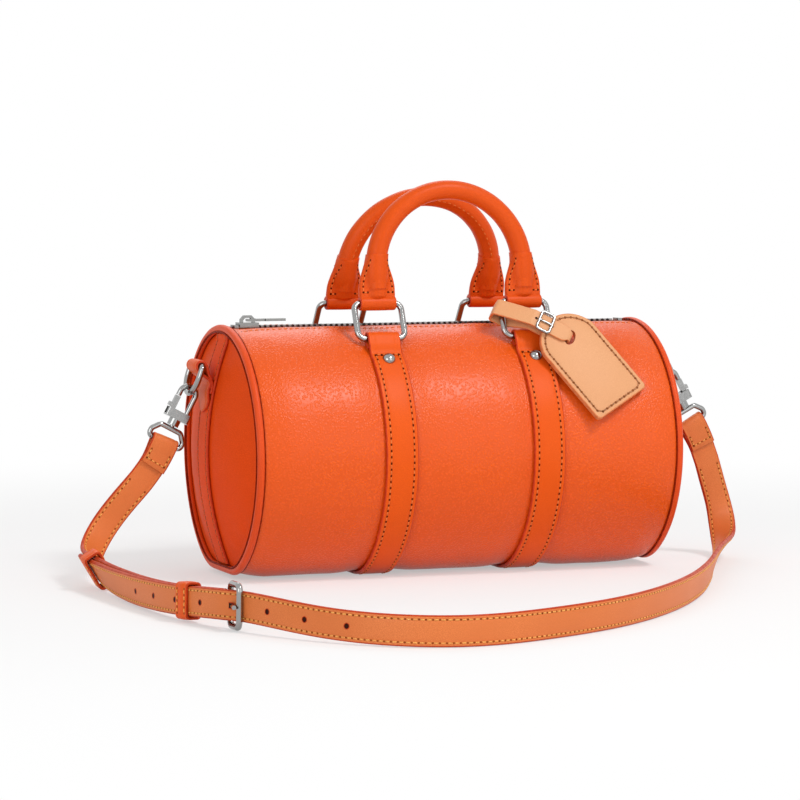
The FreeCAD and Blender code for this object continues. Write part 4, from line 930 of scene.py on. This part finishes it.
for face, sign in FACES:
    plane = Plane(face, sign)
    body = face + "_handle"
    tube, seam = handle_tube(plane, sign)
    show(tube.make("handle_leather_" + face, GRIP), "handle_cover_" + face, body=body)
    rows = Form()
    sew_line(rows, seam, -plane.outward, 0.8)
    for side, half in SIDES:
        end = f"{face}_{side}"
        tab = handle_tab(plane, half).make("handle_tab_leather_" + end, GRIP, TRIM_EDGE)
        show(tab, "handle_tab_" + end, body=body)
        sew_tab(rows, plane, half)
    show(rows.make("handle_stitches_" + face, THREAD, HOLE_SHADE), body=body)

# Shoulder strap

STRAP_WIDE = 15.4
STRAP_THICK = 2.6
STRAP_INSET = 2.1
STRAP_ROW = STRAP_WIDE / 2 - STRAP_INSET
LAYER = 3.0
BUCKLE_AT = 284.0
TIP_AT = 84.0
BARS = {"left": Vector((-156.07, 0, 74.87)), "right": Vector((159.97, 0, 76.77))}
HOOK_LEAN = 28.0
stand_z = STRAP_WIDE / 2 + 0.2
left, right = BARS["left"], BARS["right"]
near_left, near_right = (BARS[side] + around(HOOK_LEAN, -Z, X * sign) * 15 for side, sign in SIDES)
# Its middle passes these places: x, y, z, and the lean of its width in degrees.
STATIONS = [
    (left.x, 0, left.z, HOOK_LEAN - 90),
    (near_left.x, 0.5, near_left.z, HOOK_LEAN - 90),
    (left.x - 20.9, 2, 0.6 * left.z, HOOK_LEAN - 88),
    (left.x - 34.9, 3, 0.36 * left.z, HOOK_LEAN - 82),
    (left.x - 42.9, -6, 0.227 * left.z, -46),
    (-203, -28, stand_z + 5.2, -38),
    (-204, -60, stand_z + 3.0, -22),
    (-203.5, -100, stand_z + 1.6, -8),
    (-201, -140, stand_z + 1.6, 0),
    (-194, -182, stand_z + 3.0, 2),
    (-182, -222, stand_z + 4.6, 2),
    (-163, -262, stand_z + 2.4, 2),
    (-138, -294, stand_z + 0.6, 2),
    (-100, -312, stand_z, 2),
    (-52, -301, stand_z, 2),
    (-8, -277, stand_z, 2),
    (30, -245, stand_z, 2),
    (64, -206, stand_z, 3),
    (94, -162, stand_z, 6),
    (121, -114, stand_z, 14),
    (144, -70, 8.2, 28),
    (164, -34, 8.6, 44),
    (176, -10, 13, 54),
    (right.x + 19.0, 2, 0.352 * right.z, 90 - HOOK_LEAN),
    (right.x + 14.0, 2, 0.573 * right.z, 90 - HOOK_LEAN),
    (near_right.x, 0.5, near_right.z, 90 - HOOK_LEAN),
    (right.x, 0, right.z, 90 - HOOK_LEAN),
]
strap_route = Route([Vector(s[:3]) for s in STATIONS])
STRAP_LONG = strap_route.length
# Each strap end goes round a bar and is sewn to itself. There it is skived to a share of its thickness.
FOLD = 1.5 + 0.35 + 0.8
FOLD_ROW = 12.0
FOLD_END = 24.0
SHORT_END = BUCKLE_AT - 1.5
SKIVED = 0.62
# The turned-back layer: distance from the bar, and thickness share
TURNED_BACK = ((15.0, 0.15), (14.2, 0.4), (12.6, 0.6), (10.5, SKIVED), (8.0, SKIVED), (4.0, SKIVED))


def strap_frame(along, layer=0.0):
    """Middle, direction, width direction and outward direction at a length along the strap.

    Layer 1 is the long strap, which lies on the short one up to the buckle and drops into its line there.
    """
    place = strap_route.station(along)
    k = min(int(place), len(STATIONS) - 2)
    lean = mix(STATIONS[k][3], STATIONS[k + 1][3], place - k)
    ahead = strap_route.ahead(along)
    across = around(lean, Z, X)
    across = (across - ahead * across.dot(ahead)).normalized()
    out = ahead.cross(across)
    off = layer * LAYER * (1 - ease((along - BUCKLE_AT + 1.0) / 16.0))
    return strap_route.at(along) + out * off, ahead, across, out


def end_frame(side, d):
    """The strap's frame at a distance from one of its ends."""
    return strap_frame(d if side == "left" else STRAP_LONG - d)


def fold_level(face, d):
    """How far the middle of a folded end's layer lies off the strap's line, on either face."""
    return mix(FOLD, 0.35 if face > 0 else 1.75, ease(d / 14))


def share(along, layer):
    """Thickness as a share: each strap is skived to its folded end, and the short one to the buckle."""
    full = mix(SKIVED, 1.0, ease((min(along, STRAP_LONG - along) - 20) / 14))
    return full if layer else full * mix(1, 0.6, ease((along - SHORT_END + 12) / 12))


def bar_fold(side):
    """Frames round a swivel's bar: up the turned-back layer, round the bar and down to the strap."""
    frames = []
    for d, thick in TURNED_BACK:
        at, _, across, out = end_frame(side, d)
        frames.append((at - out * fold_level(-1, d), across, -out, 1.0, thick))
    at, ahead, across, out = end_frame(side, 0.0)
    away = ahead if side == "left" else -ahead
    for turn in (-90, -120, -150, 180, 150, 120, 90):
        radial = around(turn, away, out)
        frames.append((at + radial * FOLD, across, radial, 1.0, SKIVED))
    for d in (4.0, 8.0, 12.0, 16.0, 20.0):
        at, _, across, out = end_frame(side, d)
        frames.append((at + out * fold_level(1, d), across, out, 1.0, SKIVED))
    return frames


def strap_frames(lengths, layer):
    """Frames at lengths along a strap; the long one has a round tip."""
    frames = []
    for along in lengths:
        at, _, across, out = strap_frame(along, layer)
        wide = round_end(along - TIP_AT, STRAP_WIDE / 2, 0.1) if layer else 1.0
        frames.append((at, across, out, wide, share(along, layer)))
    return frames


def sew_edges(rows, layer, start, end):
    """Stitches down both edges and on both faces of a stretch of strap."""
    for face in BOTH:
        for edge in BOTH:
            line = []
            for along in every(start, end, PITCH):
                at, _, across, out = strap_frame(along, layer)
                place = at + across * (edge * STRAP_ROW) + out * (face * (STRAP_THICK / 2 - 0.12))
                line.append((place, out * face))
            sew(rows, line, 0.8)


def sew_fold(rows, side):
    """Sewing that holds the turned-back end, seen on both faces."""
    lines = [[(FOLD_ROW, a) for a in spread(-STRAP_ROW, STRAP_ROW, 4)]]
    for edge in BOTH:
        lines.append([(d, edge * STRAP_ROW) for d in spread(FOLD_ROW - 6.0, FOLD_ROW, 2)])
    for face in BOTH:
        for line in lines:
            row = []
            for d, a in line:
                at, _, across, out = end_frame(side, d)
                level = fold_level(face, d) + SKIVED * STRAP_THICK / 2 + 0.02
                row.append((at + across * a + out * (face * level), out * face))
            sew(rows, row, 0.8)


def hang(thing):
    """Bake the piece's placement into its mesh."""
    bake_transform(thing)


def strap_length(node, side, frames, layer, row_start, row_end):
    """One length of the strap and its stitches, from the clip at one side."""
    form = swept(section(STRAP_WIDE, STRAP_THICK, STRAP_INSET), frames)
    thing = form.make(node + "_leather", STRAP, EDGE)
    hang(thing)
    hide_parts(node)
    rows = Form()
    sew_edges(rows, layer, row_start, row_end)
    sew_fold(rows, side)
    hang(rows.make(node + "_stitches", GOLD_THREAD, STRAP_HOLE_SHADE))


frames = bar_fold("left") + strap_frames(every(FOLD_END, SHORT_END, 3), 0)
strap_length("strap_short", "left", frames, 0, 28, BUCKLE_AT - 6)
tip = STRAP_WIDE / 2
lengths = [TIP_AT + tip * (1 - math.cos(math.pi / 2 * t)) for t in spread(0, 1, 8)]
lengths += every(TIP_AT + tip + 2, STRAP_LONG - FOLD_END, 3)
frames = strap_frames(lengths, 1) + bar_fold("right")[::-1]
strap_length("strap_long", "right", frames, 1, TIP_AT + 5, STRAP_LONG - 28)

# Punched holes: a dark pit of painted shade with a pressed rim on both faces, and a slot for the prong at the
# buckle

HOLE_PITCH = 25.0
PIT = ((1.75, -0.1), (1.65, 0.07), (1.42, 0.1), (1.3, 0.02))
pits = Form()
for k in range(-4, 4):
    middle = BUCKLE_AT + (7.0 + k * HOLE_PITCH if k else 5.5)
    stretch = 0.0 if k else 3.0
    at, ahead, across, out = strap_frame(middle, 1)
    for face in BOTH:
        rings = []
        for radius, lift in PIT:
            ring = [(a + math.copysign(stretch, a), b) for a, b in disc(radius, 18)]
            rings.append(placed(ring, at + out * (face * (STRAP_THICK / 2 + 0.12 + lift)), ahead, across))
        pits.skin(rings)
pits.picks = [1 if len(f) > 4 else 0 for f in pits.faces]
show(pits.make("strap_holes", EDGE, PUNCH_SHADE), slot="strap_leather")

KEEPER_WIDE = 11.0
KEEPER_THICK = 1.35
KEEPER_BEND = 1.7


def keeper_piece(node, along, slack, body, sewn):
    """A leather loop round both layers of the strap, sewn along the edges that are listed."""
    at, ahead, across, out = strap_frame(along, 0.5)
    half_w = STRAP_WIDE / 2 + slack + 0.7
    half_t = (LAYER + STRAP_THICK) / 2 + slack + 0.7
    frames = []
    for a, b, start in ((1, 1, 0), (-1, 1, 90), (-1, -1, 180), (1, -1, 270)):
        corner = at + across * (a * (half_w - KEEPER_BEND)) + out * (b * (half_t - KEEPER_BEND))
        for k in range(7):
            outward = around(start + 15 * k, across, out)
            frames.append((corner + outward * KEEPER_BEND, ahead, outward))
    form = swept(section(KEEPER_WIDE, KEEPER_THICK, 1.9, groove=0.12, edge=0.7), frames, loop=True)
    show(form.make(node + "_leather", TRIM, EDGE), node, body=body, slot="strap_leather")
    rows = Form()
    for edge in sewn:
        for face in (-1, 1):
            middle = at + ahead * (edge * 3.6) + out * (face * (half_t + 0.62))
            line = [(middle + across * a, out * face) for a in spread(2.6 - half_w, half_w - 2.6, 4)]
            sew(rows, line, 0.9)
    stitches = rows.make(node + "_leather_stitches", GOLD_THREAD, STRAP_HOLE_SHADE)
    show(stitches, body=body, slot="strap_leather")


keeper_piece("keeper_fixed", 250.0, 0.35, "bag", (-1, 1))
keeper_piece("keeper_loose", 112.0, 1.0, "loose_keeper", (1,))

# Luggage tag: two layers with a sewn border, hung by a small buckled strap

TAG = {"body": "luggage_tag", "slot": "tag_leather"}
tag_out = around(60, Z, -Y)
tag_down = around(60, -Y, -Z)
tag_long = around(31, tag_down, X)
tag_side = tag_long.cross(tag_out)
tag_foot = Vector((86.0, 0, AXIS)) + tag_out * (RADIUS + 4.8) + tag_down * 13.0
TAG_HALF = 19.0
TAG_STRAIGHT = 47.0
TAG_HEAD = TAG_STRAIGHT + 15.0
TAG_CORNER = 2.4
TAG_LAYER = 1.5
TAG_INSET = 2.6
SLOT_HALF = 4.9
SLOT_TALL = 2.9
SLOT_PAST = 2.2


def on_tag(along, aside, above=0.0):
    return tag_foot - tag_long * along + tag_side * aside + tag_out * above


def tag_border(inset):
    """The tag's outline, drawn in by an inset: square foot with eased corners, bowed head."""
    half = TAG_HALF - inset
    head = TAG_HEAD - inset
    bow = head - TAG_STRAIGHT
    radius = (half**2 + bow**2) / (2 * bow)
    reach = math.degrees(math.asin(half / radius))
    low = inset + TAG_CORNER
    side = arc(range(180, 89, -18), TAG_CORNER, TAG_CORNER, low, half - TAG_CORNER)
    side += [(a, half) for a in spread(low + 3, TAG_STRAIGHT - 2, 11)]
    points = side + arc(spread(reach, -reach, 24), radius, radius, head - radius)
    points += [(a, -s) for a, s in side[::-1]]
    return points + [(inset, s) for s in spread(TAG_CORNER - half, half - TAG_CORNER, 6)[1:-1]]


# The small strap runs from the ring's bar to the slot in the tag's head.
ring_bar = PIVOTS["tag_swing"]
slot_mid = on_tag(TAG_STRAIGHT + 2.0, 0)
run = slot_mid - ring_bar
sink = run.dot(tag_out)
run = run - tag_out * sink
tag_reach = run.length
run.normalize()
strap_side = tag_out.cross(run)


def plate(name, low, high, node):
    """One layer of the tag with rounded edges and the strap's slot cut through it."""
    work = bmesh.new()

    def loop(points):
        return [work.verts.new(p * MM) for p in points]

    steps = ((0.55, low), (0.12, low + 0.22), (0.0, (low + high) / 2), (0.12, high - 0.22), (0.55, high))
    border = [loop([on_tag(a, s, above) for a, s in tag_border(inset)]) for inset, above in steps]
    slot = []
    for above in (low, high):
        middle = slot_mid + run * SLOT_PAST + tag_out * above
        slot.append(loop(placed(disc(1.0, 20), middle, strap_side, run, SLOT_HALF, SLOT_TALL)))
    for stack in (border, slot):
        for a, b in zip(stack, stack[1:]):
            for (p, q), (r, s) in zip(pairs(a), pairs(b)):
                work.faces.new((p, q, s, r)).material_index = 1
    for layer in (0, -1):
        edges = [work.edges.get(ends) for ring in (border[layer], slot[layer]) for ends in pairs(ring)]
        for face in bmesh.ops.triangle_fill(work, use_beauty=True, edges=edges)["geom"]:
            if isinstance(face, bmesh.types.BMFace):
                face.material_index = 0
    show(solid(name, work, (NATURAL, TAG_EDGE), 40), node, **TAG)


plate("tag_face", 0.02, TAG_LAYER, "tag_front")
plate("tag_backing", -TAG_LAYER, -0.02, "tag_back")
rows = Form()
border = tag_border(TAG_INSET)
for face in BOTH:
    line = [on_tag(a, s, face * (TAG_LAYER + 0.02)) for a, s in border + border[:1]]
    sew_line(rows, line, tag_out * face, 1.1, pitch=3.4)
show(rows.make("tag_stitches", TAG_THREAD, TAG_HOLE_SHADE), **TAG)

WALL = 1.3
TAG_STRAP_WIDE = 10.4
TAG_TIP = 5.6
TAG_STRAP_HOLE = ((0.95, -0.1), (0.8, 0.03))
level = TAG_LAYER + 0.4 + WALL / 2
wrap = RING_WIRE / 2 + 1.4 + WALL / 2
strap_end = tag_reach + SLOT_PAST


def on_run(along, above):
    return ring_bar + run * along + tag_out * (above + sink)


def round_loop(points, radius, step=0.9):
    """Points round a closed path with eased corners."""
    line = []
    for k, point in enumerate(points):
        back = (points[k - 1] - point).normalized()
        ahead = (points[(k + 1) % len(points)] - point).normalized()
        cut = radius / math.tan(back.angle(ahead) / 2)
        a, b = point + back * cut, point + ahead * cut
        line += [a.lerp(point, t).lerp(point.lerp(b, t), t) for t in spread(0.0, 1.0, 6)]
    full = []
    for point, after in pairs(line):
        count = max(1, round((after - point).length / step))
        full += [point.lerp(after, j / count) for j in range(count)]
    return full


over = [
    on_run(-wrap - 1.2, -sink - wrap),
    on_run(-wrap - 1.2, -sink + wrap),
    on_run(0.42 * tag_reach, level),
    on_run(strap_end, level),
    on_run(strap_end, -level),
    on_run(0.42 * tag_reach, -level),
    on_run(0.06 * tag_reach, -sink - wrap),
]
loop_line = round_loop(over, 1.8)
frames = []
for k, place in enumerate(loop_line):
    ahead = (loop_line[(k + 1) % len(loop_line)] - loop_line[k - 1]).normalized()
    wide = round_end(strap_end - (place - ring_bar).dot(run), TAG_TIP, 0.6)
    frames.append((place, strap_side, strap_side.cross(ahead), wide))
small = swept(section(TAG_STRAP_WIDE, WALL, crown=0.06), frames, loop=True)
show(small.make("tag_strap_leather", NATURAL, TAG_EDGE), "tag_strap", **TAG)
# The small strap's holes are dark discs of painted shade.
dots = Form()
for part in (0.47, 0.74):
    at = on_run(part * tag_reach, level + WALL / 2 + 0.06)
    dots.skin(turned(TAG_STRAP_HOLE, 14, at, run, strap_side, tag_out))
show(dots.make("tag_strap_holes", PUNCH_SHADE), **TAG)

# Stage, lights and camera, in metres


def pale_floor():
    """A matt floor that keeps the shadow near the bag, and fades to white away from it."""
    s = fresh("pale_floor")
    s.set(Base_Color=(0.9, 0.9, 0.9, 1), Roughness=0.9, Specular_IOR_Level=0.0)
    far = s.add("VectorMath", "Value", {0: s.where()}, operation="LENGTH")
    share = s.math("MULTIPLY", s.ramp(far, 0.3, 0.75, 0.45), s.background_rays())
    glow = s.add("Emission", "Emission", {"Strength": 1.0})
    both = s.add("MixShader", "Shader", {"Fac": share, 1: s.base.outputs["BSDF"], 2: glow})
    s.feed(s.nodes["Material Output"].inputs["Surface"], both)
    return s.owner


FLOOR = 6.0
corners = [(a * FLOOR, b * FLOOR, 0) for a, b in ((-1, -1), (1, -1), (1, 1), (-1, 1))]
floor_mesh = bpy.data.meshes.new("floor")
floor_mesh.from_pydata(corners, [], [(0, 1, 2, 3)])
floor_mesh.materials.append(pale_floor())
put("floor", floor_mesh)

scene = bpy.context.scene
scene.world = bpy.data.worlds.new("studio")
sky = Shader(scene.world, "Background")
sky.set(Color=(1, 1, 1, 1), Strength=sky.ramp(sky.background_rays(), 0.0, 1.0, 0.5))


def aimed(thing, place, target):
    """Set a lamp or the camera at a place, looking at a target."""
    thing.location = place
    thing.rotation_euler = (Vector(target) - Vector(place)).to_track_quat("-Z", "Y").to_euler()


# Softboxes: place, the height they look at, side and watts
LAMPS = {
    "key": ((0.7, -1.3, 1.9), 0.08, 0.5, 24),
    "front": ((0.7, -2.0, 0.55), 0.08, 1.3, 6),
    "fill": ((-1.6, -1.4, 0.7), 0.08, 1.2, 11),
    "rim": ((0.3, 1.5, 1.5), 0.1, 1.0, 7),
}
for name, (place, height, side, watts) in LAMPS.items():
    lamp = bpy.data.lights.new(name, "AREA")
    lamp.shape = "SQUARE"
    lamp.size = side
    lamp.energy = watts
    aimed(put(name, lamp), place, (0, 0, height))

scene.view_settings.view_transform = "Standard"
lens = bpy.data.cameras.new("camera")
lens.sensor_width = 36.0
lens.lens = 168.9
lens.clip_end = 50
scene.camera = put("camera", lens)
aimed(scene.camera, (-0.735, -1.968, 0.248), (-0.0185, 0, 0.0946))
